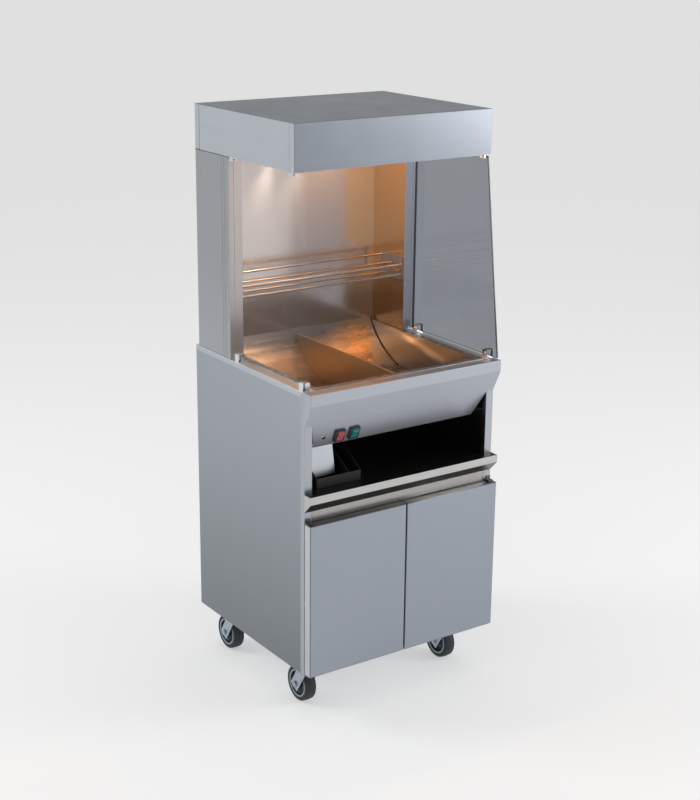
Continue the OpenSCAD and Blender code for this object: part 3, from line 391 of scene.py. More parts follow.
STEEL_UP = BrushedSteel("steel_brushed_upright", Axis.Z)
STEEL_DOOR = BrushedSteel("steel_brushed_door", Axis.Z, tone=(0.33, 0.36, 0.41), streaks=0.06, contrast=0.04)
# Painted highlight: a lighter copy of the door steel for the doors' side returns.
STEEL_RETURN_LIT = BrushedSteel("steel_door_return_lit", Axis.Z, tone=(0.54, 0.56, 0.57), streaks=0.06, contrast=0.04)
STEEL_SHADED = BrushedSteel("steel_shaded", Axis.X, tone=(0.15, 0.145, 0.145), roughness=0.34)
# Painted shade: a darker steel laid on tight bends, so that they read as a dark line.
STEEL_FOLD_SHADE = BrushedSteel("steel_fold_shade", Axis.Z, tone=(0.19, 0.205, 0.230), roughness=0.34)
# Side panels: darker towards the floor as painted shade, lighter along their top edge as a painted highlight.
STEEL_SIDE = BrushedSteel("steel_brushed_side", Axis.Z, tone=(0.388, 0.422, 0.462), foot=0.52, streaks=0.10,
                          contrast=0.04, lit_hem=0.885)
STEEL_CHEEK = BrushedSteel("steel_brushed_cheek", Axis.Z, tone=(0.370, 0.385, 0.405), metal=0.88)
# Painted light: a lighter, warmer copy of the cheek steel for the left cheek's front faces.
STEEL_CHEEK_FRONT_LIT = BrushedSteel("steel_cheek_front_lit", Axis.Z, tone=(0.49, 0.465, 0.46), metal=0.76)
# Painted lamp light: the cheeks' inner faces are tinted warm orange.
STEEL_CHEEK_INNER_LAMPLIT = BrushedSteel("steel_cheek_inner_lamplit", Axis.Z, tone=(0.50, 0.315, 0.16), roughness=0.22,
                                 metal=0.90, depth=0.00002)
STEEL_ACROSS = BrushedSteel("steel_brushed_across", Axis.X, tone=(0.520, 0.540, 0.565))
STEEL_RAIL = BrushedSteel("steel_rail", Axis.X, tone=(0.38, 0.365, 0.355), roughness=0.26)
STEEL_FRONT = BrushedSteel("steel_brushed_front", Axis.X, tone=(0.420, 0.445, 0.490), metal=0.85)
STEEL_LIP = BrushedSteel("steel_shelf_lip", Axis.X, tone=(0.50, 0.495, 0.495), roughness=0.26, contrast=0.14)
STEEL_CANOPY = BrushedSteel("steel_brushed_canopy", Axis.X, tone=(0.270, 0.292, 0.330))
# Painted shade: a darker copy of the canopy steel for its top.
STEEL_CANOPY_TOP_SHADED = BrushedSteel("steel_canopy_top_shaded", Axis.X, tone=(0.188, 0.214, 0.250), contrast=0.12)
STEEL_TOP = BrushedSteel("steel_worktop", Axis.X, tone=(0.74, 0.755, 0.76))
STEEL_DEEP = BrushedSteel("steel_brushed_front_to_rear", Axis.Y, tone=(0.505, 0.538, 0.575), roughness=0.36)
STEEL_WELL = BrushedSteel("steel_well", Axis.X, tone=(0.38, 0.375, 0.38), roughness=0.27, streaks=0.05,
                          wear=0.02, depth=0.000004)
STEEL_WELL_END = BrushedSteel("steel_well_end", Axis.Z, tone=(0.38, 0.375, 0.38), roughness=0.29,
                              streaks=0.04, wear=0.01, depth=0.000003)
# Painted lamp light: the divider is tinted warm brown.
STEEL_DIVIDER_LAMPLIT = BrushedSteel("steel_divider_lamplit", Axis.Z, tone=(0.50, 0.395, 0.27), roughness=0.30,
                             streaks=0.08, metal=0.85, wear=0.02, depth=0.00001)
STEEL_MIRROR = BrushedSteel("steel_display_wall", Axis.Z, tone=(0.61, 0.595, 0.60), roughness=0.17,
                            streaks=0.10, metal=0.80, wear=0.03, depth=0.00002)
RACK_WIRE = BrightMetal("rack_wire", tone=(0.42, 0.40, 0.385), roughness=0.26)
STEEL_BOX = BrushedSteel("steel_switchgear_box", Axis.Z, tone=(0.55, 0.58, 0.62), roughness=0.30)
# Painted shade: a near-black steel for the recess's back wall and the shelf's upper faces, where shade falls.
RECESS_SHADE = BrushedSteel("steel_recess_shade", Axis.X, tone=(0.070, 0.060, 0.052), roughness=0.38)
GALVANISED = Galvanised("galvanised_sheet")
ZINC = Galvanised("zinc_plated_steel", tone=(0.40, 0.46, 0.51), size=240.0, roughness=0.30)
REFLECTOR = BrightMetal("polished_reflector", tone=(0.85, 0.84, 0.82), roughness=0.10)
BRIGHT = BrightMetal("bright_plating")
BLACK = Moulded("black_plastic")
TRAY_BLACK = Moulded("black_tray_plastic", tone=(0.006, 0.006, 0.007), roughness=0.48)
GLOSS_BLACK = Moulded("black_switch_plastic", tone=(0.012, 0.012, 0.013), roughness=0.25, coat=0.3)
RED = Moulded("red_lens", tone=(0.36, 0.070, 0.085), roughness=0.22, grain=400.0, coat=0.6, glow=0.12)
GREEN = Moulded("green_lens", tone=(0.008, 0.150, 0.140), roughness=0.22, grain=400.0, coat=0.6, glow=0.12)
RED_DARK = Moulded("dark_red_lens", tone=(0.012, 0.004, 0.005), roughness=0.35, grain=300.0)
RUBBER = Moulded("grey_rubber", tone=(0.013, 0.018, 0.023), roughness=0.60, grain=500.0, depth=0.00012)
HUB = Moulded("grey_wheel_centre", tone=(0.024, 0.040, 0.052), roughness=0.45)
RING = Moulded("light_grey_ring", tone=(0.33, 0.39, 0.43), roughness=0.40)
# Painted shade: near-black beads standing for the shadow in the gaps at the cheeks and along the well's ends.
SHADOW_LINE = Moulded("dark_shadow_line", tone=(0.006, 0.005, 0.005), roughness=0.55)
PAD = Moulded("clear_rubber_pad", tone=(0.10, 0.10, 0.10), roughness=0.5)
MAGNET = Moulded("magnet_housing", tone=(0.05, 0.05, 0.055), roughness=0.5)
CERAMIC = Ceramic("white_ceramic")
OXIDE = Moulded("oxidised_sheath", tone=(0.07, 0.065, 0.06), roughness=0.7, grain=600.0)
# Painted shade: the right pane is tinted much darker than the left pane of the same glass.
GLASS_RIGHT_SHADED = Pane("glass_right_pane_shaded", tint=(0.56, 0.58, 0.61))
GLASS_LEFT = Pane("glass_left_pane", tint=(0.97, 0.975, 0.975), base=0.004, rise=0.04, smears=0.006)
GLASS_EDGE = Moulded("glass_edge", tone=(0.025, 0.032, 0.034), roughness=0.12, coat=0.5)
QUARTZ = Pane("quartz_tube", tint=(1.0, 0.90, 0.78))
FILAMENT = Glow("hot_filament")


@dataclass(frozen=True)
class PaleFloor(Finish):
    """Backdrop paper laid on the floor."""

    tone: Colour = (0.62, 0.62, 0.62)
    lift: float = 0.42

    def build(self, shader: Shader) -> Wire:
        """Matt paper with a slow cloud in its tone and an even light of its own."""
        cloud = shader.noise(0.8, 2.0)
        return shader.principled(
            Base_Color=shader.mix(cloud, scaled(self.tone, 0.99), self.tone),
            Roughness=0.8 + 0.1 * cloud,
            Emission_Color=(1.0, 1.0, 1.0),
            Emission_Strength=self.lift,
        )


PALE_FLOOR = PaleFloor("pale_floor")


class Shape:
    """Vertices and faces gathered from surfaces, and turned into one object."""

    def __init__(self) -> None:
        """Starts empty."""
        self.points: list[Array] = []
        self.faces: list[tuple[int, ...]] = []
        self.count = 0

    def add(self, points: Array, faces: Iterable[Sequence[int]]) -> "Shape":
        """Adds a surface.

        Args:
            points: its vertices, n by 3.
            faces: its faces, as indices into those vertices.

        Returns:
            The shape itself.
        """
        self.points.append(np.asarray(points, float).reshape(-1, 3))
        self.faces += [tuple(int(i) + self.count for i in face) for face in faces]
        self.count += len(self.points[-1])
        return self

    def grid(self, points: Array, loop_rows: bool = False, loop_cols: bool = False) -> "Shape":
        """Adds a grid of quads.

        Args:
            points: vertices, rows by columns by 3.
            loop_rows: whether the last row joins the first.
            loop_cols: whether the last column joins the first.

        Returns:
            The shape itself.
        """
        rows, cols = points.shape[:2]
        index = np.arange(rows * cols).reshape(rows, cols)
        down = np.roll(index, -1, 0) if loop_rows else index[1:]
        here = index if loop_rows else index[:-1]
        right_here = np.roll(here, -1, 1)
        right_down = np.roll(down, -1, 1)
        quads = np.stack([here, right_here, right_down, down], -1)
        quads = quads if loop_cols else quads[:, :-1]
        return self.add(points, quads.reshape(-1, 4).tolist())

    def lathe(self, profile: Array, centre: Sequence[float], axis: Axis, steps: int = 24,
              closed: bool = False) -> "Shape":
        """Adds a profile of radius and height, turned about an axis; closed joins its ends."""
        return self.grid(turned(profile, centre, axis, steps), loop_rows=closed, loop_cols=True)

    def tube(self, path: Array, radius: float, sides: int) -> "Shape":
        """Adds a closed tube: each path point plus radius times two normals of the path.

        Args:
            path: the centre line, n by 3.
            radius: the tube's radius.
            sides: columns round the tube.

        Returns:
            The shape itself.
        """
        along = np.gradient(path, axis=0)
        along /= np.linalg.norm(along, axis=1, keepdims=True)
        aside = UPWARD if abs(along[0, 2]) < 0.9 else (0.0, 1.0, 0.0)
        normal = np.cross(along, aside)
        normal /= np.linalg.norm(normal, axis=1, keepdims=True)
        other = np.cross(along, normal)
        angle = np.linspace(0.0, 2 * np.pi, sides, endpoint=False)[None, :, None]
        rings = path[:, None] + radius * (np.cos(angle) * normal[:, None] + np.sin(angle) * other[:, None])
        self.grid(rings, loop_cols=True)
        return self.add(rings[0], [range(sides)]).add(rings[-1], [range(sides)])

    def object(self, name: str, finish: Finish, smooth: float = 35.0) -> bpy.types.Object:
        """Makes the object, with its doubles merged and faces outwards.

        Args:
            name: the object's name.
            finish: its finish.
            smooth: edges sharper than this many degrees stay sharp.

        Returns:
            The new object.
        """
        mesh = bpy.data.meshes.new(name)
        mesh.from_pydata(np.concatenate(self.points).tolist(), [], self.faces)
        work = bmesh.new()
        work.from_mesh(mesh)
        bmesh.ops.remove_doubles(work, verts=work.verts, dist=1e-6)
        bmesh.ops.recalc_face_normals(work, faces=work.faces)
        shade(work, smooth)
        work.to_mesh(mesh)
        work.free()
        return placed(name, mesh, finish)


def placed(name: str, mesh: bpy.types.Mesh, finish: Finish) -> bpy.types.Object:
    """Object of a mesh, at the origin, in its finish."""
    mesh.materials.append(finish.material())
    piece = bpy.data.objects.new(name, mesh)
    bpy.context.scene.collection.objects.link(piece)
    return piece


def shade(work: bmesh.types.BMesh, angle: float) -> None:
    """Smooths all faces and marks edges sharper than an angle, in degrees, as sharp."""
    limit = math.radians(angle)
    for face in work.faces:
        face.smooth = True
    for edge in work.edges:
        edge.smooth = len(edge.link_faces) == 2 and edge.calc_face_angle(0.0) < limit


def turned(profile: Array, centre: Sequence[float], axis: Axis, steps: int) -> Array:
    """Surface of revolution: radius times cosine and sine of the angle, height along the axis.

    Args:
        profile: rows of radius and height.
        centre: the point on the axis at height 0.
        axis: the axis of revolution.
        steps: columns round the axis.

    Returns:
        Vertices, one row per profile point, to be joined in columns.
    """
    angle = np.linspace(0.0, 2 * np.pi, steps, endpoint=False)
    radius, height = np.asarray(profile, float).T[..., None]
    first, second = [other.value for other in Axis if other is not axis]
    ring = np.empty((len(radius), steps, 3))
    ring[..., first] = radius * np.cos(angle)
    ring[..., second] = radius * np.sin(angle)
    ring[..., axis.value] = height
    return ring + np.asarray(centre, float)


def near(point: Sequence[float], rows: Sequence[Sequence[float]]) -> Array:
    """Plane points that are given in millimetres from a point."""
    return np.asarray(point) + MM * np.asarray(rows)


def mirrored(rows: Array) -> Array:
    """Rows of radius and height in reverse order, on the other side of height 0."""
    return rows[::-1] * [1.0, -1.0]


def washer(inner: float, outer: float, half: float) -> Array:
    """Section of a ring: the radius and height of its four corners."""
    return np.array([[inner, -half], [outer, -half], [outer, half], [inner, half]])


def arc(centre: tuple[float, float], radius: float, start: float, end: float, steps: int = 8) -> Array:
    """Points of an arc in the plane, between two angles in degrees."""
    angle = np.radians(np.linspace(start, end, steps))
    return np.stack([centre[0] + radius * np.cos(angle), centre[1] + radius * np.sin(angle)], -1)


def rounded_loop(half_w: float, half_h: float, radius: float, steps: int = 7) -> Array:
    """Rounded rectangle about the middle: four quarter circles joined, as plane points."""
    corners = ((1, 1, 0), (-1, 1, 90), (-1, -1, 180), (1, -1, 270))
    return np.concatenate([
        arc((sx * (half_w - radius), sy * (half_h - radius)), radius, start, start + 90, steps)
        for sx, sy, start in corners
    ])


def dress(piece: bpy.types.Object, body: str, slot: str, *nodes: str) -> None:
    """Lets a piece ride on a body and hides the CAD nodes that it replaces.

    Args:
        piece: the finished piece.
        body: the body that it moves with.
        slot: the record's material slot; not used.
        nodes: the CAD nodes that it stands for.
    """
    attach(piece, body)
    if nodes:
        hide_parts(*nodes)
    log.info("piece %s rides on %s", piece.name, body)


def merged(node: str) -> bmesh.types.BMesh:
    """Copy of a node's mesh, with its doubles merged."""
    work = bmesh.new()
    work.from_mesh(frame["nodes"][node].data)
    bmesh.ops.remove_doubles(work, verts=work.verts, dist=DOUBLE)
    return work


def folded_copy(node: str, finish: Finish, radius: float,
                chosen: Optional[Callable[[bmesh.types.BMEdge], bool]] = None, steps: int = 3,
                pan: bool = False) -> bpy.types.Object:
    """Copy of a sheet or block with its doubles merged and its chosen edges rounded.

    Args:
        node: the CAD node.
        finish: its finish.
        radius: the rounding's radius.
        chosen: says of an edge whether it is rounded; all sharp edges if left out.
        steps: segments of the rounding.
        pan: whether it is a pan, whose thin rim runs all round and is cut into triangles.

    Returns:
        The copy, with a live Bevel and Weighted Normal.
    """
    work = merged(node)
    bmesh.ops.dissolve_limit(work, angle_limit=FLAT, verts=work.verts, edges=work.edges)
    if pan:
        thin = [face for face in work.faces if face.calc_area() < 1 * MM * face.calc_perimeter()]
        rims = [face for face in thin if len(face.verts) > 6]
        bmesh.ops.triangulate(work, faces=rims)
    shade(work, CREASE)
    weight = work.edges.layers.float.new("bevel_weight_edge")
    for edge in work.edges:
        if not edge.smooth and (chosen is None or chosen(edge)):
            edge[weight] = 1.0
            edge.smooth = True
    mesh = bpy.data.meshes.new(node + "_sheet")
    work.to_mesh(mesh)
    work.free()
    piece = placed(node + "_sheet", mesh, finish)
    bevel = piece.modifiers.new("fold", "BEVEL")
    bevel.limit_method = "WEIGHT"
    bevel.width = radius
    bevel.segments = steps
    normals = piece.modifiers.new("flat", "WEIGHTED_NORMAL")
    normals.keep_sharp = True
    return piece


def body_of(node: str) -> str:
    """Name of the body that a node belongs to."""
    groups = frame["record"]["behaviour"]["bodies"]
    return next(body for body, members in groups.items() if node in members)


def slot_of(node: str) -> str:
    """Name of a node's material slot."""
    return next(row["material_slot"] for row in frame["record"]["subparts"] if row["node"] == node)


@dataclass(frozen=True)
class Studio:
    """Floor, backdrop, lights and the photograph's camera."""

    eye: tuple[float, float, float] = (-2.26394, -3.29447, 2.01397)
    yaw: float = 34.65
    pitch: float = -17.35
    roll: float = 0.60
    lens: float = 69.71
    sensor: float = 36.0
    sky: tuple = ((0.02, 0.80), (0.12, 0.62), (0.30, 0.37), (0.70, 0.28))
    reach: float = 40.0
    beam_tone: Colour = (1.0, 0.80, 0.62)
    beams: tuple = ((-0.17, 0.09), (-0.07, 0.16), (0.03, 0.09))
    boxes: tuple = (
        ("front_right", (3.4, -2.6, 1.7), (0.0, -0.3, 0.9), 1.8, 66.0),
        ("rear_left", (-3.0, 2.2, 2.9), (-0.3, 0.0, 1.2), 1.6, 46.0),
        ("front_left", (-2.2, -3.6, 3.4), (0.0, 0.0, 0.8), 2.0, 7.0),
    )
    lamp_tone: Colour = (1.0, 0.48, 0.19)
    lamp_power: tuple[float, float] = (1.3, 0.8)
    lamp_size: tuple[float, float] = (0.40, 0.03)
    spill: tuple = ((0.05, 0.14, -0.01), (0.26, 0.20, -0.18))

    def build(self) -> None:
        """Builds everything that isn't the object."""
        self.camera()
        self.floor()
        self.world()
        for box in self.boxes:
            self.soft_box(*box)
        self.lamps()

    def camera(self) -> None:
        """Sets the camera: yaw from +Y towards +X, pitch up and roll, in degrees."""
        yaw, pitch, roll = (math.radians(a) for a in (self.yaw, self.pitch, self.roll))
        ahead = Vector((math.sin(yaw) * math.cos(pitch), math.cos(yaw) * math.cos(pitch), math.sin(pitch)))
        right = Vector((math.cos(yaw), -math.sin(yaw), 0.0))
        up = right.cross(ahead)
        side = right * math.cos(roll) + up * math.sin(roll)
        rise = up * math.cos(roll) - right * math.sin(roll)
        data = bpy.data.cameras.new("camera")
        data.lens, data.sensor_width, data.clip_end = self.lens, self.sensor, 100.0
        camera = bpy.data.objects.new("camera", data)
        turn = Matrix((side, rise, -ahead)).transposed()
        camera.matrix_world = Matrix.Translation(self.eye) @ turn.to_4x4()
        bpy.context.scene.collection.objects.link(camera)
        bpy.context.scene.camera = camera

    def floor(self) -> None:
        """Wide pale floor, lifted by a little light of its own so that it stays even."""
        corners = self.reach * np.array([[x, y, 0.0] for x, y in ((-1, -1), (1, -1), (1, 1), (-1, 1))])
        floor = Shape().add(corners, [(0, 1, 2, 3)]).object("floor", PALE_FLOOR)

    def world(self) -> None:
        """Light that is pale round the horizon, dims up the walls and is white overhead."""
        world = bpy.data.worlds.new("studio")
        shader = Shader(world)
        where = shader.node("ShaderNodeTexCoord", out="Generated")
        height = shader.node("ShaderNodeSeparateXYZ", sockets={0: where}, out="Z")
        stops = [(place, (level * 0.98, level * 0.99, level)) for place, level in self.sky]
        sky = shader.node("ShaderNodeValToRGB", {"stops": stops + [(1.0, (1.0, 1.0, 1.0))]}, {0: height})
        shader.done(shader.node("ShaderNodeBackground", sockets={"Color": sky}), "ShaderNodeOutputWorld")
        bpy.context.scene.world = world
        bpy.context.scene.view_settings.view_transform = "Standard"

    def soft_box(self, name: str, place: Sequence[float], aim: Sequence[float], size: float, power: float,
                 tone: Colour = (1.0, 1.0, 1.0), long: float = 0.0, spread: float = 180.0) -> None:
        """Area light.

        Args:
            name: the light's name.
            place: where it stands.
            aim: the point that it faces.
            size: its side.
            power: its power in watts.
            tone: its colour.
            long: its other side, if it isn't square.
            spread: the angle of its beam, in degrees.
        """
        data = bpy.data.lights.new(name, "AREA")
        data.spread = math.radians(spread)
        data.size = size
        data.energy = power
        data.color = tone
        if long:
            data.shape = "RECTANGLE"
            data.size_y = long
        light = bpy.data.objects.new(name, data)
        light.location = place
        light.rotation_euler = (Vector(aim) - Vector(place)).to_track_quat("-Z", "Y").to_euler()
        bpy.context.scene.collection.objects.link(light)

    def lamps(self) -> None:
        """Warm light from the canopy's two troughs, and their spill on the wall and the right cheek."""
        low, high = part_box("quartz_lamps")
        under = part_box("lamp_deck")[0].z - 2 * MM
        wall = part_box("display_back")[0]
        long, wide = self.lamp_size
        for name, y, power in zip(("front_lamp", "rear_lamp"), (low.y, high.y), self.lamp_power):
            self.soft_box(name, (0.0, y, under), (0.0, y, 0.0), long, power, self.lamp_tone, wide)
        for number, (x, power) in enumerate(self.beams):
            place, aim = (x, wall.y - 0.03, under), (x - 0.09, wall.y, under - 0.26)
            self.soft_box(f"wall_beam_{number}", place, aim, 0.02, power, self.beam_tone, spread=42.0)
        place, aim = ((x, y, under + down) for x, y, down in self.spill)
        self.soft_box("cheek_spill", place, aim, 0.06, 0.7, self.lamp_tone)


@dataclass(frozen=True)
class Face:
    """A second finish on the faces of a sheet that look one way; mostly a lighter or darker copy of its steel, as
    painted light or shade.
    """

    toward: tuple[float, float, float]
    finish: Finish
    limit: float = 0.7
    front_half: bool = False
    inside: float = 1.0

    def paint(self, piece: bpy.types.Object) -> None:
        """Gives the finish to the faces whose normal times the direction passes the limit.

        A direction along X counts both ways. With front_half only faces in front of the sheet's middle are
        painted, and only faces nearer to the unit's middle plane than inside.

        Args:
            piece: the sheet.
        """
        mesh = piece.data
        normals, middles = np.empty((2, 3 * len(mesh.polygons)))
        mesh.polygons.foreach_get("normal", normals)
        mesh.polygons.foreach_get("center", middles)
        looks = normals.reshape(-1, 3) @ np.array(self.toward)
        chosen = np.where(self.toward[0], np.abs(looks), looks) > self.limit
        chosen &= np.abs(middles[0::3]) < self.inside
        if self.front_half:
            chosen &= middles[1::3] < middles[1::3].mean()
        index = np.empty(len(mesh.polygons), np.int32)
        mesh.polygons.foreach_get("material_index", index)
        index[chosen] = len(mesh.materials)
        mesh.polygons.foreach_set("material_index", index)
        mesh.materials.append(self.finish.material())


@dataclass(frozen=True)
class Sheets:
    """Folded sheets and blocks: what each is brushed with and which of its edges are bends."""

    bend: float = 2.4 * MM
    tight: float = 2.0 * MM
    deburr: float = 0.4 * MM
    broad: float = 4 * MM
    shortest: float = 8 * MM
    pin_reach: float = 3.3 * MM
    pin_share: float = 1 / 30
    # Radius and inset of the near-black lines of painted shade at the cheeks' gaps.
    shadow_line_r: float = 0.9 * MM
    shadow_line_inset: float = 0.6 * MM

    def build(self) -> None:
        """Dresses every sheet of the cabinet, gantry and canopy."""
        # Door skins: side returns in a lighter steel as a painted highlight, top flanges in a darker one as
        # painted shade.
        lit_and_shaded_door_faces = (Face(SIDEWAYS, STEEL_RETURN_LIT), Face(UPWARD, STEEL_SHADED))
        for side in ("left", "right"):
            self.outer(f"side_panel_{side}", STEEL_SIDE)
            self.outer(f"front_post_{side}", STEEL_UP)
            # Cheeks: the front faces take a lighter steel as painted light, the inner faces a warm orange as
            # painted lamp light.
            front = Face(FORWARD, STEEL_CHEEK_FRONT_LIT if side == "left" else STEEL_FRONT)
            self.outer(f"cheek_{side}", STEEL_CHEEK, Face(SIDEWAYS, STEEL_CHEEK_INNER_LAMPLIT, inside=0.28), front)
            self.outer(f"{side}_door_skin", STEEL_DOOR, *lit_and_shaded_door_faces, fold=STEEL_FOLD_SHADE)
        # Shelf: faces looking down take painted shade, faces looking up a near-black painted shade.
        self.outer("recess_shelf", STEEL_LIP, Face(DOWNWARD, STEEL_SHADED, 0.3), Face(UPWARD, RECESS_SHADE))
        # Canopy: the front half of its side returns takes a lighter steel as a painted highlight, its top a darker
        # copy as painted shade, and its tight bends a dark line of painted shade.
        self.outer("canopy_cover", STEEL_CANOPY, Face(SIDEWAYS, STEEL_DEEP, front_half=True),
                   Face(UPWARD, STEEL_CANOPY_TOP_SHADED), fold=STEEL_FOLD_SHADE)
        self.outer("front_panel", STEEL_FRONT)
        self.outer("worktop", STEEL_TOP)
        self.outer("gantry_cover", STEEL_CHEEK)
        self.outer("well_pan", STEEL_WELL, Face(SIDEWAYS, STEEL_WELL_END))
        # recess_back takes near-black painted shade, door_hinges a shaded steel, and well_divider a warm tint of
        # painted lamp light.
        blocks = {
            "canopy_sides": STEEL_DEEP, "base_tray": STEEL_ACROSS, "door_rail": STEEL_RAIL,
            "display_back": STEEL_MIRROR, "well_divider": STEEL_DIVIDER_LAMPLIT, "switchgear_box": STEEL_BOX,
            "tool_tray": TRAY_BLACK, "heat_shield": GALVANISED, "inner_shelf": GALVANISED,
            "recess_back": RECESS_SHADE, "cable_gland": BLACK, "lamp_holders": CERAMIC,
            "magnet_catches": MAGNET, "door_hinges": STEEL_SHADED, "left_door_liner": GALVANISED,
            "right_door_liner": GALVANISED,
        }
        for node, finish in blocks.items():
            self.block(node, finish)
        self.ease_pins()
        self.shadow_lines()

    def ease_pins(self) -> None:
        """Draws the hinge pins in by a share of their radius, to turn freely in the doors' holes."""
        mesh = bpy.data.objects["door_hinges_sheet"].data
        flat = np.empty(3 * len(mesh.vertices))
        mesh.vertices.foreach_get("co", flat)
        points = flat.reshape(-1, 3)
        for joint in frame["joints"]:
            if joint["name"].endswith("door_hinge"):
                away = points[:, :2] - np.array(joint["pos_m"][:2])
                pin = np.hypot(*away.T) < self.pin_reach
                points[pin, :2] -= self.pin_share * away[pin]
        mesh.vertices.foreach_set("co", points.ravel())
        mesh.update()

    def outer(self, node: str, finish: Finish, *faces: Face, fold: Optional[Finish] = None) -> None:
        """Copies a folded sheet and rounds its bends: convex edges between two broad faces.

        Args:
            node: the CAD node.
            finish: its finish.
            faces: other finishes for some of its faces.
            fold: the finish of tight bends, a darker steel that paints shade on them so that they read as a line;
            if left out, bends are wide and in the sheet's own finish.
        """
        radius = self.tight if fold else self.bend
        piece = folded_copy(node, finish, radius, self.is_bend, pan=node.endswith("door_skin"))
        for face in faces:
            face.paint(piece)
        if fold:
            piece.modifiers["fold"].material = len(piece.data.materials)
            piece.data.materials.append(fold.material())
        dress(piece, body_of(node), slot_of(node), node)

    def is_bend(self, edge: bmesh.types.BMEdge) -> bool:
        """Whether a sharp edge is a bend in the sheet rather than its cut rim."""
        long = edge.calc_length()
        broad = all(face.calc_area() / long > self.broad for face in edge.link_faces)
        return edge.is_convex and long > self.shortest and broad

    def block(self, node: str, finish: Finish) -> None:
        """Copies a plain block or small sheet and breaks all its edges."""
        piece = folded_copy(node, finish, self.deburr, None, 2)
        dress(piece, body_of(node), slot_of(node), node)

    def shadow_lines(self) -> None:
        """Lays a thin near-black line at the foot and the head of each cheek, as a tube along Y: painted shade in
        the gaps there.
        """
        lines = Shape()
        for node in ("cheek_left", "cheek_right"):
            low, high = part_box(node)
            x = low.x + self.shadow_line_inset if low.x < 0 else high.x - self.shadow_line_inset
            for z in (low.z + self.shadow_line_r, high.z - self.shadow_line_r):
                path = np.stack([np.full(24, x), np.linspace(low.y, high.y, 24), np.full(24, z)], -1)
                lines.tube(path, self.shadow_line_r, 8)
        dress(lines.object("cheek_shadow_lines", SHADOW_LINE), "cabinet", "black_plastic")


def islands(node: str) -> list[tuple[Array, Array]]:
    """Lowest and highest corners of each separate solid of a node, from low X to high."""
    work = merged(node)
    waiting = set(work.verts)
    found = []
    while waiting:
        seed = waiting.pop()
        group, edge_of_group = {seed}, [seed]
        while edge_of_group:
            near = {e.other_vert(v) for v in edge_of_group for e in v.link_edges} - group
            group |= near
            edge_of_group = list(near)
        waiting -= group
        points = np.array([v.co[:] for v in group])
        found.append((points.min(0), points.max(0)))
    work.free()
    return sorted(found, key=lambda pair: tuple(np.round(pair[0], 5)))


@dataclass(frozen=True)
class Fasteners:
    """Button-head screws with a driver's socket."""

    side_screw: float = 3.2 * MM
    side_rise: float = 0.35 * MM
    door_places: tuple = ((5 * MM, 32 * MM), (2 * MM, 219 * MM))
    fold_place: tuple = (7 * MM, 6 * MM)
    dome: float = 62.0

    def build(self) -> None:
        """Makes the screws of the rear covers, the doors' sides and the canopy's folds."""
        covers = Shape()
        for low, high in islands("cover_screws"):
            middle_x, _, middle_z = (low + high) / 2
            self.head(covers, (middle_x, low[1], middle_z), Axis.Y, (high[0] - low[0]) / 2, high[1] - low[1])
        dress(covers.object("cover_screw_heads", BRIGHT), "cabinet", "bright_wire", "cover_screws")
        _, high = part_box("right_door_skin")
        for side, sign in (("left", -1), ("right", 1)):
            screws = Shape()
            for back, up in self.door_places:
                foot = (sign * high.x, high.y - back, high.z - up)
                self.head(screws, foot, Axis.X, self.side_screw, sign * self.side_rise)
            dress(screws.object(f"{side}_door_side_screws", BRIGHT), f"{side}_door", "bright_wire")
        low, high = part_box("canopy_cover")
        back, up = self.fold_place
        folds = Shape()
        for sign in (-1, 1):
            foot = (sign * high.x, low.y + back, low.z + up)
            self.head(folds, foot, Axis.X, self.side_screw, sign * self.side_rise)
        dress(folds.object("canopy_fold_screws", BRIGHT), "cabinet", "bright_wire")

    def head(self, shape: Shape, foot: Sequence[float], axis: Axis, radius: float, rise: float) -> None:
        """Adds a domed head: radius times cosine over rise times sine, with a socket in the middle.

        Args:
            shape: the shape that it is added to.
            foot: the middle of its foot.
            axis: the screw's axis.
            radius: the head's radius.
            rise: its height, negative towards the axis's low side.
        """
        dome = np.radians(np.linspace(0.0, self.dome, 7))
        rows = np.stack([radius * np.cos(dome), rise * (0.15 + 0.85 * np.sin(dome))], -1)
        socket = [[radius * 0.40, rows[-1, 1]], [radius * 0.36, rise * 0.45], [0.0, rise * 0.40]]
        profile = np.concatenate([[[0.0, 0.0], [radius, 0.0]], rows, socket])
        shape.lathe(profile, foot, axis)


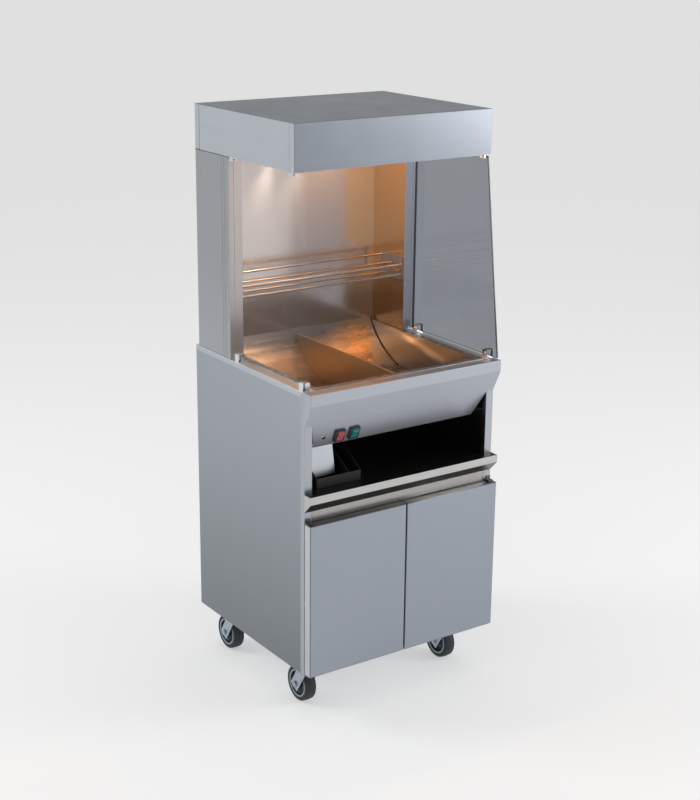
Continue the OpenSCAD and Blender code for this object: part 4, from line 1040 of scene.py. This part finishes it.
@dataclass(frozen=True)
class Glazing:
    """Side panes with ground edges, and their clamps."""

    ground: float = 0.8 * MM
    clamp_round: float = 1.4 * MM
    pad: float = 0.9 * MM
    pad_round: float = 1.5 * MM
    press: float = 0.2 * MM

    def build(self) -> None:
        """Dresses both panes, the clamps and the pads under them."""
        self.pane("glass_left", GLASS_LEFT, GLASS_LEFT)
        # The right pane's dark tint is painted shade.
        self.pane("glass_right", GLASS_RIGHT_SHADED, GLASS_EDGE)
        clamps = folded_copy("glass_clips", BRIGHT, self.clamp_round, None, 3)
        dress(clamps, "cabinet", "bright_wire", "glass_clips")
        low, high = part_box("glass_right")
        pads = Shape()
        for first, last in islands("glass_clips"):
            sign = math.copysign(1.0, first[0])
            across = tuple(sorted((sign * low.x, sign * high.x)))
            at_foot = last[2] < (low.z + high.z) / 2
            upright = (first[2] + self.press, low.z) if at_foot else (high.z, last[2] - self.press)
            self.slip(pads, across, (first[1] + self.pad, last[1] - self.pad), upright)
        dress(pads.object("pane_pads", PAD), "cabinet", "black_plastic")

    def pane(self, node: str, finish: Finish, rim: Finish) -> None:
        """Bevels a pane's edges and gives its narrow faces a finish of their own.

        Args:
            node: the pane's node.
            finish: the finish of its broad faces.
            rim: the finish of its narrow faces.
        """
        piece = folded_copy(node, finish, self.ground, None, 2)
        piece.data.materials.append(rim.material())
        normals = np.empty(3 * len(piece.data.polygons))
        piece.data.polygons.foreach_get("normal", normals)
        narrow = np.abs(normals[0::3]) < 0.5
        piece.data.polygons.foreach_set("material_index", narrow.astype(np.int32))
        dress(piece, "cabinet", "glass", node)

    def slip(self, shape: Shape, across: tuple, along: tuple, upright: tuple) -> None:
        """Adds a rubber slip: a rounded loop, drawn out between two levels, with closed ends."""
        half = ((across[1] - across[0]) / 2, (along[1] - along[0]) / 2)
        centre = ((across[1] + across[0]) / 2, (along[1] + along[0]) / 2)
        loop = rounded_loop(half[0], half[1], self.pad_round, 5) + centre
        rings = np.stack([np.column_stack([loop, np.full(len(loop), z)]) for z in upright])
        shape.grid(rings, loop_cols=True)
        last = len(loop)
        shape.add(rings.reshape(-1, 3), [range(last), range(2 * last - 1, last - 1, -1)])


@dataclass(frozen=True)
class HeatLamps:
    """Quartz tubes with a coiled filament on support discs."""

    wall: float = 0.9 * MM
    coil_r: float = 1.9 * MM
    wire_r: float = 0.32 * MM
    pitch: float = 2.4 * MM
    support_every: float = 44 * MM
    cap_l: float = 9 * MM
    disc: float = 0.2 * MM
    play: float = 0.4 * MM

    def build(self) -> None:
        """Makes both lamps."""
        tubes, coils, caps = Shape(), Shape(), Shape()
        for low, high in islands("quartz_lamps"):
            centre = (low + high) / 2
            radius, half = (high[2] - low[2]) / 2, (high[0] - low[0]) / 2
            tubes.lathe(washer(radius - self.wall, radius, half), centre, Axis.X, 32, closed=True)
            self.coil(coils, centre, half - self.cap_l)
            for sign in (-1, 1):
                self.cap(caps, centre, sign, half, radius - self.wall)
            for place in np.arange(-half + 2 * self.cap_l, half - 2 * self.cap_l, self.support_every):
                disc = washer(self.coil_r + self.play, radius - self.wall, self.disc)
                caps.lathe(disc, centre + [place, 0.0, 0.0], Axis.X, closed=True)
        dress(tubes.object("lamp_tubes", QUARTZ), "cabinet", "quartz", "quartz_lamps")
        dress(coils.object("lamp_filaments", FILAMENT), "cabinet", "quartz")
        dress(caps.object("lamp_caps", BRIGHT), "cabinet", "bright_wire")

    def coil(self, shape: Shape, centre: Array, half: float) -> None:
        """Adds a helix: radius times cosine and sine of the turn, moving on one pitch a turn."""
        turns = int(2 * half / self.pitch)
        turn = np.linspace(0.0, 2 * np.pi * turns, turns * 9)
        along = np.linspace(-half, half, len(turn))
        path = np.stack([along, self.coil_r * np.cos(turn), self.coil_r * np.sin(turn)], -1)
        shape.tube(path + centre, self.wire_r, 5)

    def cap(self, shape: Shape, centre: Array, sign: int, half: float, radius: float) -> None:
        """Adds a pressed cap in the tube's end: a lathe profile of a cup with a stem."""
        back = half - self.cap_l
        rows = np.array([[0.0, back], [radius, back + 0.6 * MM], [radius, half - 0.4 * MM],
                         [radius * 0.6, half], [0.0, half]])
        shape.lathe(rows * [1.0, sign], centre, Axis.X)


@dataclass(frozen=True)
class Controls:
    """Pilot lamp, and the rockers in their bezels."""

    lens_round: float = 0.7 * MM
    bezel_round: float = 1.1 * MM
    slope: float = 25.2
    ring_r: float = 8.0 * MM
    lens_r: float = 6.2 * MM
    ring_t: float = 2.0 * MM
    barrel: float = 20 * MM
    edge: float = 0.6 * MM
    foot: float = -3 * MM

    def build(self) -> None:
        """Dresses the switches and makes the pilot lamp."""
        for colour, finish in (("red", RED), ("green", GREEN)):
            rocker = folded_copy(f"{colour}_rocker", finish, self.lens_round, None, 3)
            dress(rocker, f"{colour}_switch", f"{colour}_rocker", f"{colour}_rocker")
            body = folded_copy(f"{colour}_switch_body", GLOSS_BLACK, self.bezel_round, self.on_face, 3)
            dress(body, "cabinet", "black_plastic", f"{colour}_switch_body")
        self.pilot()

    def on_face(self, edge: bmesh.types.BMEdge) -> bool:
        """Whether an edge lies on the bezel's face, in front of the sheet."""
        out = Vector((0.0, -math.cos(math.radians(self.slope)), -math.sin(math.radians(self.slope))))
        return any(face.normal.dot(out) > 0.98 for face in edge.link_faces) and edge.is_convex

    def pilot(self) -> None:
        """Makes the pilot's ring, barrel and domed lens as lathe profiles turned onto the slope."""
        low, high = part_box("pilot_lamp")
        tilt = math.radians(self.slope)
        out = np.array([0.0, -math.cos(tilt), -math.sin(tilt)])
        centre = np.array([(low.x + high.x) / 2, low.y, 0.0])
        centre[2] = high.z - self.ring_r * math.cos(tilt) + self.ring_t * math.sin(tilt)
        centre[1] = low.y + self.ring_r * math.sin(tilt) + self.ring_t * math.cos(tilt)
        neck, outer, edge = self.ring_r * 0.86, self.ring_r, self.edge
        ring = [[self.lens_r, -self.barrel], [neck, -self.barrel], [neck, 0.0], [outer - edge, 0.0],
                [outer, edge], [outer * 0.96, self.ring_t * 0.7], [outer * 0.88, self.ring_t],
                [self.lens_r + edge, self.ring_t * 0.7], [self.lens_r, self.ring_t * 0.4]]
        dome = np.radians(np.linspace(0.0, 90.0, 8))
        top = np.stack([self.lens_r * np.cos(dome), self.ring_t * (0.3 + 0.6 * np.sin(dome))], -1)
        lens = np.concatenate([[[0.0, self.foot], [self.lens_r, self.foot]], top])
        onto = np.stack([SIDEWAYS, np.cross(out, SIDEWAYS), out])
        for name, profile, finish, slot, nodes in (
                ("pilot_ring", ring, BRIGHT, "pilot_lamp", ("pilot_lamp",)),
                ("pilot_lens", lens, RED_DARK, "red_rocker", ())):
            points = centre + turned(profile, (0.0, 0.0, 0.0), Axis.Z, 40) @ onto
            piece = Shape().grid(points, loop_rows=bool(nodes), loop_cols=True).object(name, finish)
            dress(piece, "cabinet", slot, *nodes)


@dataclass(frozen=True)
class Well:
    """Near-black beads along the well's end joints: painted shade for the shadow in their gaps."""

    radius: float = 221 * MM
    sheet: float = 1.5 * MM
    bead: float = 1.9 * MM
    inset: float = 0.6 * MM

    def build(self) -> None:
        """Lays a bead up the curved back and along the floor at each end.

        The bead's middle runs along the floor and then on a circle about the well's axis.
        """
        low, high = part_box("well_pan")
        floor, back = low.z + self.sheet, high.y - self.sheet
        last = math.acos(1 - (high.z - floor) / self.radius)
        axis_y, axis_z = back - self.radius * math.sin(last), floor + self.radius
        angle = np.linspace(0.0, last, 60)
        near = self.radius - self.inset
        bend = np.stack([axis_y + near * np.sin(angle), axis_z - near * np.cos(angle)], -1)
        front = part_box("drain_plate_left")[0].y
        flat = np.stack([np.linspace(front, axis_y, 20)[:-1], np.full(19, floor + self.inset)], -1)
        path = np.concatenate([flat, bend])
        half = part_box("drain_plate_right")[1].x + 0.5 * MM - self.inset
        for side, sign in (("left", -1), ("right", 1)):
            line = np.column_stack([np.full(len(path), sign * half), path])
            # Painted shade: the bead marks the joint, and its near-black stands for the shadow in the joint's gap.
            shadow_bead = Shape().tube(line, self.bead, 10).object(f"well_shadow_line_{side}", SHADOW_LINE)
            dress(shadow_bead, "cabinet", "black_plastic")


@dataclass(frozen=True)
class RearLouvres:
    """Pressed hoods over the rear panel's slots."""

    depth: float = 6 * MM
    over: float = 5 * MM
    slot_l: float = 150 * MM
    slot_h: float = 8 * MM
    slot_x: float = 130 * MM
    pitch: float = 22 * MM
    first: float = 60 * MM
    rows: int = 7
    lap: float = 2 * MM
    sheet: float = 0.8 * MM

    def build(self) -> None:
        """Makes one hood for each slot.

        Across a slot the hood swells as the square root of one less the sixth power of the distance from its
        middle; down it, its depth follows a sine and its fall one less a cosine.
        """
        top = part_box("rear_panel")[1]
        across, down = np.meshgrid(np.linspace(-1.0, 1.0, 41), np.radians(np.linspace(0.0, 90.0, 9)))
        swell = np.sqrt(np.clip(1 - across ** 6, 0.0, 1.0))
        hood = np.stack([across * (self.slot_l / 2 + self.lap), self.depth * swell * np.sin(down),
                         self.over - (self.over + self.slot_h) * (1 - np.cos(down))], -1)
        shape = Shape()
        for sign in (-1, 1):
            for row in range(self.rows):
                shape.grid(hood + [sign * self.slot_x, top.y, top.z - self.first - row * self.pitch])
        piece = shape.object("rear_louvres", GALVANISED)
        wall = piece.modifiers.new("wall", "SOLIDIFY")
        wall.thickness = self.sheet
        wall.offset = 1.0
        dress(piece, "cabinet", "galvanised")


@dataclass(frozen=True)
class Wheels:
    """Casters: forks, wheel centres with a light ring, and tyres; sections in millimetres from a corner."""

    half_w: float = 16 * MM
    seat: float = 0.76
    shoulder: float = 5.5 * MM
    axle: float = 5.06 * MM
    boss: float = 13 * MM
    web: float = 4.5 * MM
    fork_round: float = 0.8 * MM
    wall: tuple = ((0, 1.2), (1.5, 0), (4, 0.5))
    crown: tuple = ((-0.35, -6), (-0.12, -0.5), (0, -0.25), (0, 0.25), (-0.12, 0.5), (-0.35, 6))
    ring: tuple = ((-4.4, -1.6), (-0.4, -1.6), (-0.4, -0.5), (-1.4, -0.1), (-3.8, -0.4))

    def build(self) -> None:
        """Makes the four casters."""
        for corner in CASTERS:
            fork = folded_copy("fork_" + corner, ZINC, self.fork_round, self.outer_edge, 2)
            dress(fork, "swivel_" + corner, "zinc", "fork_" + corner)
            low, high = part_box("tyre_" + corner)
            centre = (np.array(low) + np.array(high)) / 2
            radius = (high.z - low.z) / 2
            self.tyre(corner, centre, radius)
            self.centre(corner, centre, radius)

    def outer_edge(self, edge: bmesh.types.BMEdge) -> bool:
        """Whether an edge is convex and long enough to be broken."""
        return edge.is_convex and edge.calc_length() > 1.0 * MM

    def tyre(self, corner: str, centre: Array, radius: float) -> None:
        """Tread crowned as a shallow arc, round shoulders and a moulding ridge on its middle."""
        round_at = (radius - self.shoulder - 0.6 * MM, -self.half_w + self.shoulder)
        left = np.concatenate([
            near((self.seat * radius, -self.half_w), self.wall),
            arc(round_at, self.shoulder, -90.0, -20.0, 7),
        ])
        profile = np.concatenate([left, near((radius, 0.0), self.crown), mirrored(left)])
        tyre = Shape().lathe(profile, centre, Axis.X, 96, closed=True)
        dress(tyre.object(f"tyre_{corner}_rubber", RUBBER), f"wheel_{corner}", "tyre", f"tyre_{corner}")

    def centre(self, corner: str, centre: Array, radius: float) -> None:
        """Moulded centre: a boss, a dished web and a rim, with a light ring round each side."""
        seat = self.seat * radius
        low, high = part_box("hub_" + corner)
        reach = (high.x - low.x) / 2
        half = np.concatenate([
            [[self.axle, reach]],
            near((self.boss, reach), ((-1.2, 0), (0, -1.2))),
            near((self.boss, self.web), ((0.6, 1.5), (3, 0))),
            near((seat, self.web), ((-9, 0), (-6.5, 3))),
            near((seat, self.half_w), ((-6, -2.2), (-5, -1.2), (-0.02, -1.2))),
        ])
        profile = np.concatenate([half, mirrored(half)])
        hub = Shape().lathe(profile, centre, Axis.X, 72, closed=True)
        dress(hub.object(f"hub_{corner}_moulding", HUB), f"wheel_{corner}", "hub_plastic", f"hub_{corner}")
        rings = Shape()
        for sign in (-1, 1):
            edge = near((seat, self.half_w), self.ring) * [1.0, sign]
            rings.lathe(edge, centre, Axis.X, 72, closed=True)
        dress(rings.object(f"hub_{corner}_rings", RING), f"wheel_{corner}", "hub_plastic")


@dataclass(frozen=True)
class Plain:
    """CAD nodes that keep their own mesh and get a finish."""

    def build(self) -> None:
        """Sets each node's material."""
        finishes = {
            "drain_plate_left": STEEL_WELL, "drain_plate_right": STEEL_WELL, "rear_panel": GALVANISED,
            "lamp_deck": REFLECTOR, "wire_rack": RACK_WIRE, "well_element": OXIDE, "thermostat": CERAMIC,
            "caster_plates": ZINC,
        }
        for node, finish in finishes.items():
            self.paint(node, finish)

    def paint(self, node: str, finish: Finish) -> None:
        """Puts a finish into all of a node's material slots."""
        mesh = frame["nodes"][node].data
        mesh.materials.clear()
        mesh.materials.append(finish.material())


def main() -> None:
    """Builds the studio and the pieces in order."""
    logging.basicConfig(level=logging.INFO)
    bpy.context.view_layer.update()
    for kind in (Studio, Sheets, Plain, Glazing, HeatLamps, Controls, Well, RearLouvres, Wheels, Fasteners):
        part = kind()
        part.build()
        log.info("%s built", type(part).__name__)


if __name__ == "__main__":
    main()
